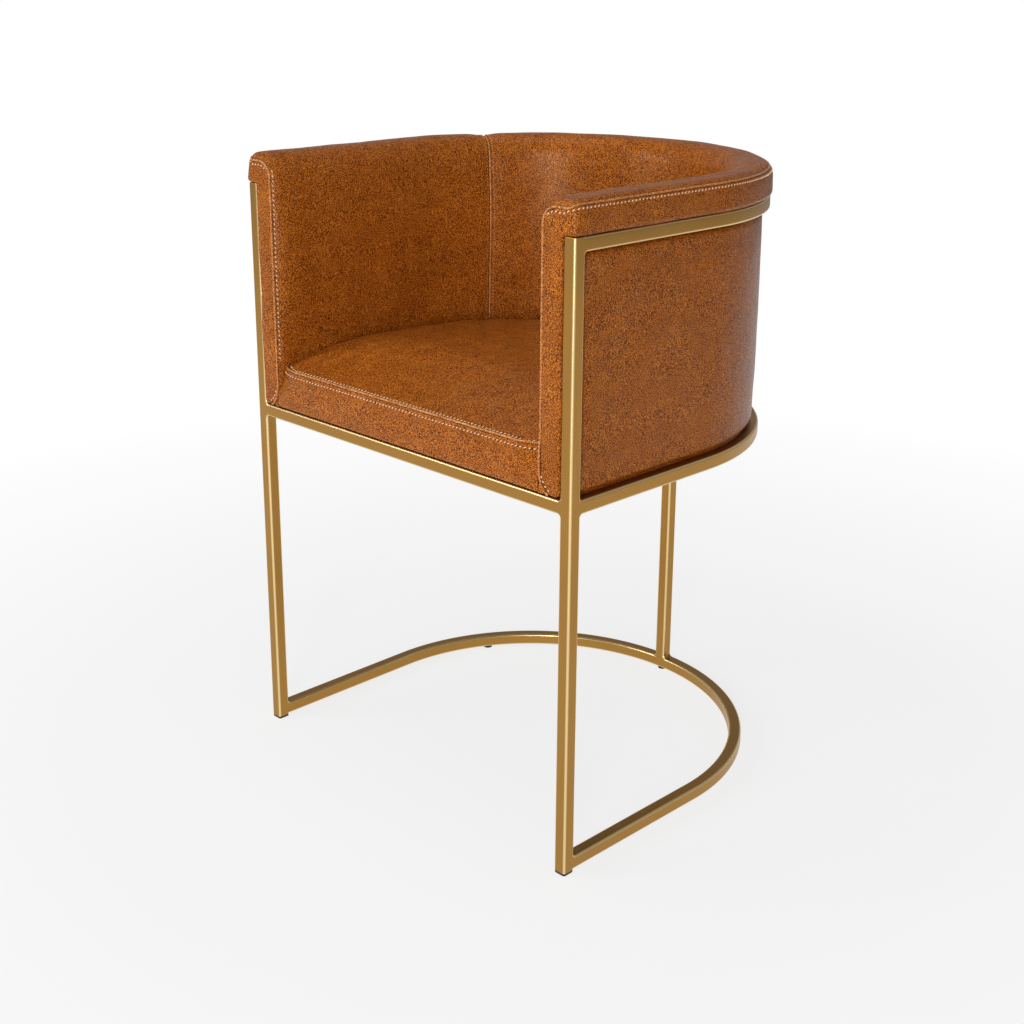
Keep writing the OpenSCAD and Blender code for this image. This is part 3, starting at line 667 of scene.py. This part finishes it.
def makeCap(spec):
    # the arm's front: rounded edges in rings, then the flat
    low, inner, front = spec["low"], spec["inset"], spec["frontY"]
    ringCount = 7
    rings = []
    for p in np.radians(np.linspace(0, 90, ringCount)):
        d = outline[:, 4] * (1 - math.cos(p))
        h = outline[:, 4] * (1 - math.sin(p))
        u, z = outline[:, 0] + outline[:, 2] * d, outline[:, 1] + outline[:, 3] * d
        z = np.maximum(z, low + np.where(outline[:, 0] > inner - 0.01, d, 0))
        flat = np.arange(len(outline)) > marks["foot"]
        u = np.where(flat, np.minimum(u, inner - d), u)
        rings.append(np.column_stack([halfWidth - u, front + h, z]))
    grid = np.array(rings)
    faces = gridFaces(grid, closed=True)
    sides = []
    back = [seamBack(s, spec) for s in outlineRun]
    n = len(outline)
    for k in range(ringCount - 1):
        for i in range(n):
            middle = outline[i, 4] * math.pi / 2 * (1 - (k + 0.5) / (ringCount - 1))
            behind = middle > (back[i] + back[min(i + 1, n - 1)]) / 2
            sides.append(marks["inner"] <= i < marks["seam"] and behind)
    points, fill = flatFill(np.column_stack([halfWidth - grid[-1][:, 0], grid[-1][:, 2]]))
    base = ringCount * n
    faces += [[v + base for v in f] for f in fill]
    sides += [False] * len(fill)
    flat = np.column_stack([halfWidth - points[:, 0], np.full(len(points), front), points[:, 1]])
    return np.concatenate([grid.reshape(-1, 3), flat]), faces, sides


def turnOut(points, faces, normals, axis, sign):
    # turns all the faces round if the furthest point's normal points inwards
    far = int(np.argmax(points[:, axis] * sign))
    if normals[far][axis] * sign < 0:
        return [f[::-1] for f in faces], -normals
    return faces, normals


def turnAlike(points, faces):
    # makes all the faces of a welded surface look the same way, and keeps their order
    bm = bmesh.new()
    verts = [bm.verts.new(p) for p in points]
    made, places = [], []
    for i, f in enumerate(faces):
        if bm.faces.get([verts[v] for v in f]) is None:
            made.append(bm.faces.new([verts[v] for v in f]))
            places.append(i)
    bm.verts.index_update()
    bmesh.ops.recalc_face_normals(bm, faces=bm.faces)
    turned = {i: [v.index for v in f.verts] for f, i in zip(made, places)}
    bm.free()
    return turned


def makeSkin(spec):
    # the whole leather skin of the shell: two arm fronts and the sides swept round the U
    capPoints, capFaces, capInner = makeCap(spec)
    n, lead, front = marks["corner"] + 1, spec["leadCols"], spec["frontY"]
    rows = []
    for u, z, nu, nz, r in outline[:n]:
        first = [front + r + (stations[0] - front - r) * k / lead for k in range(lead)]
        along = np.concatenate([first, stations, [uLength - s for s in first[::-1]]])
        rows.append(level(*alongU(u, along), z))
    side = np.array(rows)
    cols = side.shape[1]
    faces, owner = [], []
    for base, step, inside in ((0, 1, "innerRight"), (len(capPoints), -1, "innerLeft")):
        faces += [[v + base for v in f[::step]] for f in capFaces]
        owner += [inside if k else "bandLeather" for k in capInner]
    points = [capPoints, capPoints * [-1, 1, 1], side.reshape(-1, 3)]
    base = 2 * len(capPoints)
    faces += [f[::-1] for f in gridFaces(side, base)]
    base += n * cols
    seamCols = lead + np.searchsorted(stations, seamStations)
    for i in range(n - 1):
        middle = (seamBack(outlineRun[i], spec) + seamBack(outlineRun[i + 1], spec)) / 2
        r = outline[i, 4]
        for j in range(cols - 1):
            k = min(j, cols - 2 - j)
            v = (stations[0] - front - r) * (k + 0.5) / lead + r * math.pi / 2 if k < lead else math.inf
            if i < marks["inner"]:
                owner.append(None)
            elif i < marks["seam"] and v > middle:
                owner.append(("innerRight", "innerBack", "innerLeft")[sum(j >= c for c in seamCols)])
            else:
                owner.append("bandLeather")
    # strips behind the front's edge, beside each post and under it
    for s in (1, -1):
        sheet = np.array([[(s * (halfWidth - u), y, z) for y in np.linspace(front + r, spec["stripBack"], 5)]
                          for u, z, nu, nz, r in outline[marks["corner"] + 6:]])
        strip = gridFaces(sheet, base)
        faces += [f[::-s] for f in strip]
        owner += ["bandLeather"] * len(strip)
        points.append(sheet.reshape(-1, 3))
        base += len(points[-1])
    return np.concatenate(points), faces, owner


def densify(points, step=0.8):
    points = np.array(points)
    run = np.r_[0, np.cumsum(np.linalg.norm(np.diff(points, axis=0), axis=1))]
    t = np.arange(0, run[-1], step)
    return np.column_stack([np.interp(t, run, points[:, i]) for i in range(3)])


bandTree, innerTree = (pointTree(np.concatenate([densify(line) for line in lines]))
                       for lines in ([bandSeam], innerSeams))


def dip(distance, shape):
    depth, width = shape
    return depth * math.exp(-(distance / width) ** 2)


def pressed(point, normal, spec):
    # how far a point of the leather sinks at the seams, and swells and waves between them
    p = Vector(point)
    band, seam = bandTree.find(p)[2], innerTree.find(p)[2]
    sink = max(dip(band, spec["bandGroove"]), dip(seam, spec["seamGroove"]))
    sink += dip(seam, spec["seamDip"])
    sink += dip(band, spec["bandDip"])
    wave = sum(height * noise.noise(p * scale) for height, scale in spec["waves"])
    if p.z < 700 and p.y > 60:  # long soft creases across the inside
        wave += spec["crease"] * ripple(p.x * 0.012, p.y * 0.012, p.z * 0.06 + 5)
    inside = clamp(-(normal[0] * p.x + normal[1] * (p.y - sideRun)) / 150) if p.y > 0 else 0
    up = clamp((p.z - spec["bulgeLow"]) / spec["bulgeRun"])
    rise = math.sin(math.pi * up ** 1.5) * spec["bulge"] * min(1, inside * 2)
    rise *= 1 - (1 - clamp((p.y - 1) / spec["swellRun"])) ** 2
    height, run = spec["pillow"]
    rise += height * inside * math.sqrt(1 - (1 - clamp((p.y - 1.5) / run)) ** 2)
    return rise + wave * min(1.0, band / spec["calm"]) - sink


def skinPieces(spec):
    # the swollen skin's points, normals and faces by piece, and the points before the swelling
    points, faces, owner = makeSkin(spec)
    points, faces = weld(points, faces)
    kept = [(f, o) for f, o in zip(faces, owner) if f and o]
    turned = turnAlike(points, [f for f, o in kept])
    used = list(turned.values())
    used, normals = turnOut(points, used, vertexNormals(points, used), 2, 1)
    moved = points + normals * np.array([[pressed(p, n, spec)] for p, n in zip(points, normals)])
    normals = vertexNormals(moved, used)
    groups = {}
    for f, i in zip(used, turned):
        groups.setdefault(kept[i][1], []).append(f)
    return moved, normals, groups, points


def leatherPiece(name, points, normals, faces, thickness, material):
    # one cut of leather with its thickness; the whole skin's normals let the cuts meet smoothly
    ids = sorted({v for f in faces for v in f})
    new = {v: i for i, v in enumerate(ids)}
    n, outward = len(ids), normals[ids]
    both = np.concatenate([points[ids], points[ids] - outward * thickness])
    edges = dict.fromkeys((a, b) for f in faces for a, b in zip(f, f[1:] + f[:1]))
    rim = [(new[a], new[b]) for a, b in edges if (b, a) not in edges]
    front = [[new[v] for v in f] for f in faces]
    back = [[v + n for v in f[::-1]] for f in front]
    sides = [[b, a, a + n, b + n] for a, b in rim]
    obj = meshObject(name, toModel(both), front + back + sides, material)
    ways = [tuple(outward[v]) for f in front for v in f] + [tuple(-outward[v - n]) for f in back for v in f]
    for f in sides:
        p = both[f]
        q = np.cross(p[2] - p[0], p[3] - p[1])
        ways += [tuple(q / max(np.linalg.norm(q), 1e-9))] * 4
    obj.data.normals_split_custom_set(ways)
    return obj


skinPoints, skinNormals, skinGroups, plainPoints = skinPieces(shellSet)
shellNodes = {"bandLeather": ["band_leather", "roll_foam", "arm_foam_left", "arm_foam_right"],
              "innerLeft": ["inner_leather_left"], "innerRight": ["inner_leather_right"],
              "innerBack": ["inner_leather_back", "inner_foam"]}
for name, faces in skinGroups.items():
    piece = leatherPiece(name, skinPoints, skinNormals, faces, shellSet["thickness"], leather)
    own(piece, "tan_leather", *shellNodes[name])
skinFaces = [tuple(f) for g in skinGroups.values() for f in g]
surfaceTree, plainTree = (bvhtree.BVHTree.FromPolygons([tuple(p) for p in points], skinFaces)
                          for points in (skinPoints, plainPoints))
print("shell made")


outerSet = {"low": 442.0, "high": 697.0, "reach": 8.0, "start": 17.2, "top": 716.6, "inset": 16.4,
            "hem": 17.0, "hemLow": 436.6, "crown": 1.2, "wave": 0.7, "fineWave": 0.25}


def makeOuter(spec):
    low, high, start, hem, r = (spec[key] for key in ("low", "high", "start", "hem", "reach"))
    edge = np.array([0, 0.25, 0.8, 1.7, 2.9, 4.4, 6.1, 8.0, 11.0])
    zs = np.concatenate([low + edge, np.linspace(low + 16, high - 16, 36), (high - edge)[::-1]])
    ss = np.concatenate([[9.0, 13.0], start + edge, np.linspace(34, uLength - 34, 190),
                         (uLength - start - edge)[::-1], [uLength - 13, uLength - 9]])
    q = np.minimum(ss - start, uLength - start - ss)
    dx = np.clip(r - q, 0, None)
    calm = np.clip(np.minimum(q, 20) / 20, 0, 1)
    rows = [(hem + 1.2, spec["hemLow"]), (hem, spec["hemLow"]), (hem, low - 0.2), (hem - 1.0, low + 0.05)]
    for z in zs:
        dz = max(0, r - (z - low), r - (high - z))
        depth = np.where(q <= 0, 0, np.sqrt(np.clip(r * r - dz * dz - dx * dx, 0, None)))
        swell = math.sin(math.pi * (z - low) / (high - low))
        wave = np.array([spec["wave"] * ripple(s * 0.018, z * 0.02, 3.1)
                         + spec["fineWave"] * ripple(s * 0.06, z * 0.05, 7.7) for s in ss])
        depth = depth + (spec["crown"] * swell + wave) * calm * clamp(swell * 2)
        rows.append((spec["inset"] - depth, z))
    rows += [(spec["inset"], z) for z in (702.0, 709.0, spec["top"])]
    grid = np.array([level(*alongU(u, ss), z) for u, z in rows])
    points, faces = weld(grid.reshape(-1, 3), gridFaces(grid))
    faces = [f[::-1] for f in faces if f]
    faces, normals = turnOut(points, faces, vertexNormals(points, faces), 0, 1)
    obj = leatherPiece("outerPanel", points, normals, faces, shellSet["thickness"], leather)
    own(obj, "tan_leather", "outer_leather", "outer_wadding")


makeOuter(outerSet)
print("outer panel made")

seatSet = {"inset": 45.6, "front": -0.6, "curl": 60.0, "curlRun": 38.0, "seam": 494.0, "rise": 18.0,
           "riseRun": 110.0, "fall": 7.0, "fallRun": 345, "crown": 7.0, "lift": 5, "low": 458.6,
           "drop": 7.0, "rollRun": 12, "rollDrop": 6.5, "rollTuck": 5.0, "pipeDrop": 1.4,
           # the filling: how much lower the cover starts, and the simulation's own settings
           "start": 4.0, "voxel": 0.005, "pressure": 4.0, "cap": 9.0, "frames": 20}
seatCentre = np.array([0, sideRun * 0.85])


def frontCurl(x, spec):
    # the front seam bends back towards the arms
    q = np.clip(np.abs(x) - (halfWidth - spec["inset"] - spec["curlRun"]), 0, spec["curlRun"])
    return spec["curl"] - np.sqrt(spec["curl"] ** 2 - q * q)


def seatEdge(spec, inset, front, curled=True):
    # outline of the cushion, anticlockwise from the middle of the front
    w = halfWidth - inset
    xs = np.concatenate([np.linspace(0, w - 42, 16), np.linspace(w - 38, w - 3, 12), [w - 1.2]])
    ys = front + (frontCurl(xs, spec) if curled else 0 * xs) + np.where(xs > w - 2, 1.2, 0)
    pts = list(zip(xs, ys))
    pts += [(w, y) for y in np.linspace(ys[-1] + 3, sideRun, 20)]
    pts += [(w * math.cos(a), sideRun + w * math.sin(a)) for a in np.linspace(0, math.pi / 2, 40)[1:]]
    pts += [(-x, y) for x, y in pts[-2:0:-1]]
    return np.array(pts)


def rimHeight(y, spec):
    rise = spec["rise"] * (1 - (1 - np.clip(y / spec["riseRun"], 0, 1)) ** 2)
    return spec["seam"] + rise - spec["fall"] * np.clip((y - spec["riseRun"]) / spec["fallRun"], 0, 1)


def discMesh(name, rings, material):
    # closes rings of points, from the top's middle out and down to the middle below
    grid = np.array(rings)
    n = grid.shape[1]
    faces = gridFaces(grid, closed=True)
    pts = grid.reshape(-1, 3)
    pts = np.concatenate([pts, [pts[:n].mean(0)], [pts[-n:].mean(0)]])
    a, b, last = len(pts) - 2, len(pts) - 1, len(pts) - 2 - n
    faces += [(a, i, (i + 1) % n) for i in range(n)]
    faces += [(b, last + (i + 1) % n, last + i) for i in range(n)]
    obj = meshObject(name, toModel(pts), faces, material)
    bm = bmesh.new()
    bm.from_mesh(obj.data)
    bmesh.ops.recalc_face_normals(bm, faces=bm.faces)
    bm.to_mesh(obj.data)
    bm.free()
    obj.data.shade_smooth()
    return obj


def makeCushion(spec):
    edge = seatEdge(spec, spec["inset"], spec["front"])
    down = spec["start"]
    rings = []
    for s in np.concatenate([np.linspace(0.06, 0.9, 26), [0.93, 0.955, 0.975, 0.99, 1.0]]):
        p = seatCentre + s * (edge - seatCentre)
        lead = p[:, 1] - spec["front"] - s * frontCurl(p[:, 0] / max(s, 0.01), spec)
        z = rimHeight(p[:, 1], spec) + spec["crown"] * (1 - s * s) + spec["lift"] - down
        z -= np.where(s > 0.9, spec["drop"] * ((s - 0.9) / 0.1) ** 2, 0) * np.clip(p[:, 1] / 20, 0, 1)
        # the front rolls down to its seam
        q = np.clip(lead / spec["rollRun"], 0, 1)
        roll = (spec["rollDrop"] - down) * (1 - np.sqrt(1 - (1 - q) ** 2)) + spec["rollTuck"] * (1 - q) ** 3
        z -= np.where(lead < spec["rollRun"], roll, 0)
        rings.append(np.column_stack([p, z]))
    rings += [level(*(seatCentre + s * (edge - seatCentre)).T, spec["low"])
              for s in (1.0, 0.85, 0.6, 0.3, 0.06)]
    obj = discMesh("seatCushion", rings, leather)
    fillCushion(obj, spec)
    return obj


def fillCushion(obj, spec):
    # the foam fills the cover: cloth under pressure, held at its seam and below
    modify(obj, "REMESH", mode="VOXEL", voxel_size=spec["voxel"], use_smooth_shade=True)
    mesh = bake(obj)
    start = corners(mesh)
    x, y, z = fromModel(start).T
    lead = y - spec["front"] - frontCurl(x, spec)
    held = (z < spec["seam"] - 3) | ((lead < 4) & (z < spec["seam"] + 1))
    group = obj.vertex_groups.new(name="held")
    group.add(np.flatnonzero(held).tolist(), 1.0, "REPLACE")
    clothing = modify(obj, "CLOTH")
    clothing.settings.vertex_group_mass = "held"
    clothing.settings.use_pressure = True
    clothing.settings.uniform_pressure_force = spec["pressure"]
    clothing.settings.effector_weights.gravity = 0
    clothing.settings.quality = 4
    clothing.point_cache.frame_start, clothing.point_cache.frame_end = 1, spec["frames"]
    for f in range(1, spec["frames"] + 1):
        bpy.context.scene.frame_set(f)
    move = corners(evaluated(obj)) - start
    obj.modifiers.clear()
    bpy.context.scene.frame_set(1)
    size = np.linalg.norm(move, axis=1, keepdims=True)
    cap = spec["cap"] / 1000
    place = start + move * np.minimum(1, cap * np.tanh(size / cap) / np.maximum(size, 1e-9))
    # the cover stays inside its seam at the front
    place[:, 1] = np.maximum(place[:, 1], (spec["front"] - midY - 0.4) / 1000)
    moveCorners(mesh, place)
    print("cushion filled, most movement", round(float(size.max()) * 1000, 1), "mm")
    modify(obj, "SUBSURF", levels=1, render_levels=1)
    mesh = bake(obj)
    mesh.shade_smooth()
    if not mesh.materials:
        mesh.materials.append(leather)


def creaseCushion(obj, spec):
    # soft creases in the cover, after the filling
    points = fromModel(corners(obj.data))
    for p in points:
        top = float(ease((p[2] - spec["seam"]) / 10))
        if top > 0:
            v = Vector(p)
            fold = 0.8 * ripple(v.x * 0.011 + 2, v.y * 0.03, 1.7) + 0.3 * noise.noise(v * 0.05)
            pull = 0.5 * ripple(v.x * 0.05, v.y * 0.006, 8.2) * math.exp(-max(0, v.y) / 60)
            p[2] += top * (fold + pull)
    moveCorners(obj.data, toModel(points))


cushion = makeCushion(seatSet)
creaseCushion(cushion, seatSet)
own(cushion, "tan_leather", "seat_leather", "seat_foam")
print("cushion made")

borderSet = {"low": 442.0, "high": 491.4, "half": 224.2, "front": -2.0, "bulge": 1.4, "edge": 3.0,
             "turn": 12.0, "wave": 0.5}


def makeBorder(spec):
    low, high, half, front, e = (spec[key] for key in ("low", "high", "half", "front", "edge"))
    xs = np.concatenate([np.linspace(-half, -half + 12, 9), np.linspace(-208, 208, 110),
                         np.linspace(half - 12, half, 9)])
    edge = e * (1 - np.cos(np.radians(np.linspace(0, 90, 6))))
    zs = np.concatenate([low + edge, np.linspace(low + e + 1.5, high - e - 1.5, 24), (high - edge)[::-1]])
    curl = frontCurl(xs, seatSet)
    inside = np.clip((half - np.abs(xs)) / 10, 0, 1)
    rows = [level(xs, front + spec["turn"], low + 0.1)]
    for z in zs:
        d = min(z - low, high - z)
        y = e - math.sqrt(max(0, e * e - max(0, e - d) ** 2))
        belly = spec["bulge"] * math.sin(math.pi * (z - low) / (high - low))
        wave = np.array([spec["wave"] * ripple(x * 0.03, z * 0.05, 1.3) for x in xs])
        back = curl * float(ease((z - low - 14) / 34))
        rows.append(level(xs, front + y + back - (belly + wave) * inside, z))
    rows.append(level(xs, front + spec["turn"] + curl, high))
    grid = np.array(rows)
    points, faces = grid.reshape(-1, 3), gridFaces(grid)
    faces, normals = turnOut(points, faces, vertexNormals(points, faces), 1, -1)
    obj = leatherPiece("seatBorder", points, normals, faces, shellSet["thickness"], leather)
    own(obj, "tan_leather", "seat_border")
    return obj


border = makeBorder(borderSet)

dustSet = {"inset": 31.8, "front": 12.4, "low": 442.6, "thick": 0.6, "sag": 0.3}


def makeDustCloth(spec):
    # the black cloth stapled under the seat board, drawn tight between its staples
    edge = seatEdge(seatSet, spec["inset"], spec["front"], curled=False)
    rings = []
    shares = np.concatenate([np.linspace(0.05, 0.95, 20), [0.985, 1.0]])
    for height, order in ((spec["low"] + spec["thick"], shares), (spec["low"], shares[::-1])):
        for s in order:
            p = seatCentre + s * (edge - seatCentre)
            sag = np.array([spec["sag"] * (0.5 + ripple(x * 0.02, y * 0.02, 4)) for x, y in p])
            rings.append(np.column_stack([p, height - sag * (1 - s ** 6)]))
    obj = discMesh("dustCloth", rings, cloth)
    own(obj, "black_cloth", "dust_cloth")


makeDustCloth(dustSet)
print("seat made")


def makeCordTree():
    t = NodeTree("pipingCord", {"Radius": ("Float", 0.0016), "Sides": ("Int", 12),
                                "Spacing": ("Float", 0.0015), "Material": ("Material", None)})
    curve = t.add("MeshToCurve", {"Mesh": t["Geometry"]})
    even = t.add("ResampleCurve", {"Curve": curve, "Length": t["Spacing"]}, mode="LENGTH")
    circle = t.add("CurvePrimitiveCircle", {"Resolution": t["Sides"], "Radius": t["Radius"]})
    swept = t.add("CurveToMesh", {"Curve": even, "Profile Curve": circle, "Fill Caps": True})
    smooth = t.add("SetShadeSmooth", {"Geometry": swept})
    return t.finish(smooth)


cordTree = makeCordTree()
pipeSet = {"radius": 1.3, "proud": 1.6}


def onSkin(point):
    # where the swollen leather lies above a point of the plain skin, and the way out there
    point, reach = Vector(point), 14
    normal = plainTree.find_nearest(point)[1]
    return surfaceTree.ray_cast(point + normal * reach, -normal, 2 * reach)[0] or point, normal


def laid(points, amount):
    # lays the line of a seam in its groove, its middle a little above the bottom
    out = np.array([where + normal * amount for where, normal in map(onSkin, points)])
    out[2:-2] = (out[:-4] + out[1:-3] + out[2:-2] + out[3:-1] + out[4:]) / 5
    return out


def makePiping(name, lines, replaced):
    obj = pathObject(name, lines)
    runTree(obj, cordTree, {"Radius": pipeSet["radius"] / 1000, "Material": pipingLeatherPaintedHighlight})
    own(obj, "piping_leather", *replaced)


makePiping("bandPiping", [laid(bandSeam, pipeSet["proud"])], ["band_piping"])
for side, rows in zip(("Right", "Left"), innerSeams):
    makePiping("seamPiping" + side, [laid(rows, pipeSet["proud"])], ["seam_piping_" + side.lower()])


def seatRow(inset, count, y, shift=0.0, rise=0.0):
    # a line along the seat's front seam, or beside it
    x = np.linspace(inset - halfWidth, halfWidth - inset, count)
    return level(x, y + frontCurl(x, seatSet) + shift, seatSet["seam"] - seatSet["pipeDrop"] + rise)


makePiping("seatPiping", [seatRow(45.9, 200, -1.1)], ["seat_piping"])
print("piping made")

stitchSet = {"pitch": 5.6, "length": 3.4, "width": 1.25, "slant": 0.55, "spread": 0.12, "seed": 7,
             "lift": 0.35, "colour": thread}
seamStitchSet = dict(stitchSet, pitch=4.2, length=2.6, width=0.95, colour=tanThread)


def makeStitchTree():
    t = NodeTree("stitchRow", {"Pitch": ("Float", 0.0038), "Length": ("Float", 0.0027),
                               "Width": ("Float", 0.001), "Slant": ("Float", 0.14), "Spread": ("Float", 0.1),
                               "Seed": ("Int", 7), "Material": ("Material", None)})
    curve = t.add("MeshToCurve", {"Mesh": t["Geometry"]})
    even = t.add("ResampleCurve", {"Curve": curve, "Length": t["Pitch"]}, mode="LENGTH")
    bead = t.add("MeshUVSphere", {"Segments": 8, "Rings": 5, "Radius": 0.5})
    size = t.add("ShaderNodeCombineXYZ", {"X": t["Length"], "Y": t["Width"], "Z": t["Width"]})
    shaped = t.add("Transform", {"Geometry": bead, "Scale": size})
    outward = t.add("InputNamedAttribute", {"Name": "outward"}, data_type="FLOAT_VECTOR")
    way = t.add("FunctionNodeAxesToRotation", {0: t.add("InputTangent"), 1: outward}, primary_axis="X",
                secondary_axis="Z")
    least, most = (t.add("ShaderNodeMath", {0: t["Slant"], 1: t["Spread"]}, operation=operation)
                   for operation in ("SUBTRACT", "ADD"))
    chance = t.add("FunctionNodeRandomValue", {2: least, 3: most, "Seed": t["Seed"]}, data_type="FLOAT")
    lean = t.add("ShaderNodeCombineXYZ", {"Z": chance.outputs[1]})
    turn = t.add("FunctionNodeEulerToRotation", {"Euler": lean})
    turned = t.add("FunctionNodeRotateRotation", {"Rotation": way, "Rotate By": turn},
                   rotation_space="LOCAL")
    placed = t.add("InstanceOnPoints", {"Points": even, "Instance": shaped, "Rotation": turned})
    smooth = t.add("SetShadeSmooth", {"Geometry": t.add("RealizeInstances", {"Geometry": placed})})
    return t.finish(smooth)


stitchTree = makeStitchTree()


def makeStitches(name, rows, find, spec):
    lines, ways = [], []
    for row in rows:
        found = [find(Vector(p))[:2] for p in row]
        lines.append([np.array(p) + np.array(n) * spec["lift"] for p, n in found])
        ways.append([tuple(n) for p, n in found])
    obj = pathObject(name, lines, {"outward": ways})
    values = {key.capitalize(): spec[key] / 1000 for key in ("pitch", "length", "width")}
    values.update({key.capitalize(): spec[key] for key in ("slant", "spread", "seed")})
    runTree(obj, stitchTree, dict(values, Material=spec["colour"]))
    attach(obj, "root")


def treeOf(obj):
    points = [tuple(p) for p in fromModel(corners(obj.data))]
    return bvhtree.BVHTree.FromPolygons(points, [tuple(f.vertices) for f in obj.data.polygons])


makeStitches("shellStitches", bandStitches, surfaceTree.find_nearest, stitchSet)
makeStitches("seamStitches", [row for lines in innerLines for row in lines[1:]], onSkin, seamStitchSet)
for name, piece, shift, rise in (("cushion", cushion, 3.0, 4.6), ("border", border, -3.5, -6.0)):
    row = seatRow(50, 150, -1.5, shift, rise)
    makeStitches(name + "Stitches", [row], treeOf(piece).find_nearest, stitchSet)
print("stitches made")

nodeFinish = {"foot_plugs": plastic, "rail_pads": plastic, "seat_tabs": brass, "seat_spacers": plastic,
              "seat_screws": zincSteel, "seat_washers": zincSteel, "seat_tee_nuts": zincSteel,
              "shell_studs": zincSteel, "shell_nuts": zincSteel, "core_screws": zincSteel,
              "shell_core": plywood, "seat_board": plywood, "dust_cloth_staples": zincSteel}
for name, material in nodeFinish.items():
    for slot in nodes[name].material_slots:
        slot.material = material


stageSet = {"soft": 0.34, "floor": (222, 222, 222), "near": 0.78, "reach": (0.55, 1.6)}


def seenDirectly(tree, *more):
    # 1 for rays from the camera, and for the other kinds named
    rays = tree.add("ShaderNodeLightPath").outputs
    last = rays["Is Camera Ray"]
    for label in more:
        last = tree.add("ShaderNodeMath", {0: last, 1: rays[label]}, operation="MAXIMUM").outputs[0]
    return last


def makeFloor(spec):
    n, radius = 48, 4
    ring = [(radius * math.cos(2 * math.pi * i / n), radius * math.sin(2 * math.pi * i / n), 0)
            for i in range(n)]
    floor = meshObject("floor", ring, [range(n)])
    s = Shader("paleFloor", roughness=0.9, specular=0.1)
    s.put(s.main.inputs["Base Color"], colour(*spec["floor"]))
    # seen as plain white further out; nearer the chair some of its own shading shows
    far = s.add("ShaderNodeVectorMath", {0: s.place}, operation="LENGTH").outputs["Value"]
    share = s.span(far, *spec["reach"], spec["near"], 1.0)
    seen = s.maths("MULTIPLY", share, seenDirectly(s, "Is Glossy Ray", "Is Transmission Ray"))
    mix = s.add("ShaderNodeMixShader", {0: seen, 1: s.main, 2: s.add("ShaderNodeEmission")})
    s.put(s.tree.nodes["Material Output"].inputs["Surface"], mix)
    floor.data.materials.append(s.material)


def makeWorld(spec):
    world = bpy.context.scene.world or bpy.data.worlds.new("world")
    bpy.context.scene.world = world
    world.use_nodes = True
    world.node_tree.nodes.clear()
    t = Nodes(world.node_tree)
    soft, white = (t.add("ShaderNodeBackground", {"Color": (1, 1, 1, 1), "Strength": strength})
                   for strength in (spec["soft"], 1.0))
    mix = t.add("ShaderNodeMixShader", {0: seenDirectly(t), 1: soft, 2: white})
    t.add("ShaderNodeOutputWorld", {0: mix})


def makeLamp(name, power, size, place, target=(0, 0, 0.45)):
    data = bpy.data.lights.new(name, "AREA")
    data.shape = "RECTANGLE"
    data.size, data.size_y = size
    data.energy = power
    lamp = link(bpy.data.objects.new(name, data))
    lamp.location = place
    lamp.rotation_euler = (Vector(place) - Vector(target)).to_track_quat("Z", "Y").to_euler()


lampSet = {"keyLight": (129, (0.9, 2.2), (2.98, -4.0, 1.35)),
           "fillLight": (106, (2.4, 2.4), (-2.8, -4.2, 2.3)), "topLight": (11, (1.4, 1.4), (0.0, -0.3, 2.7))}
makeFloor(stageSet)
makeWorld(stageSet)
for name, (power, size, place) in lampSet.items():
    makeLamp(name, power, size, place)
bpy.context.scene.view_settings.view_transform = "Standard"
print("stage made")
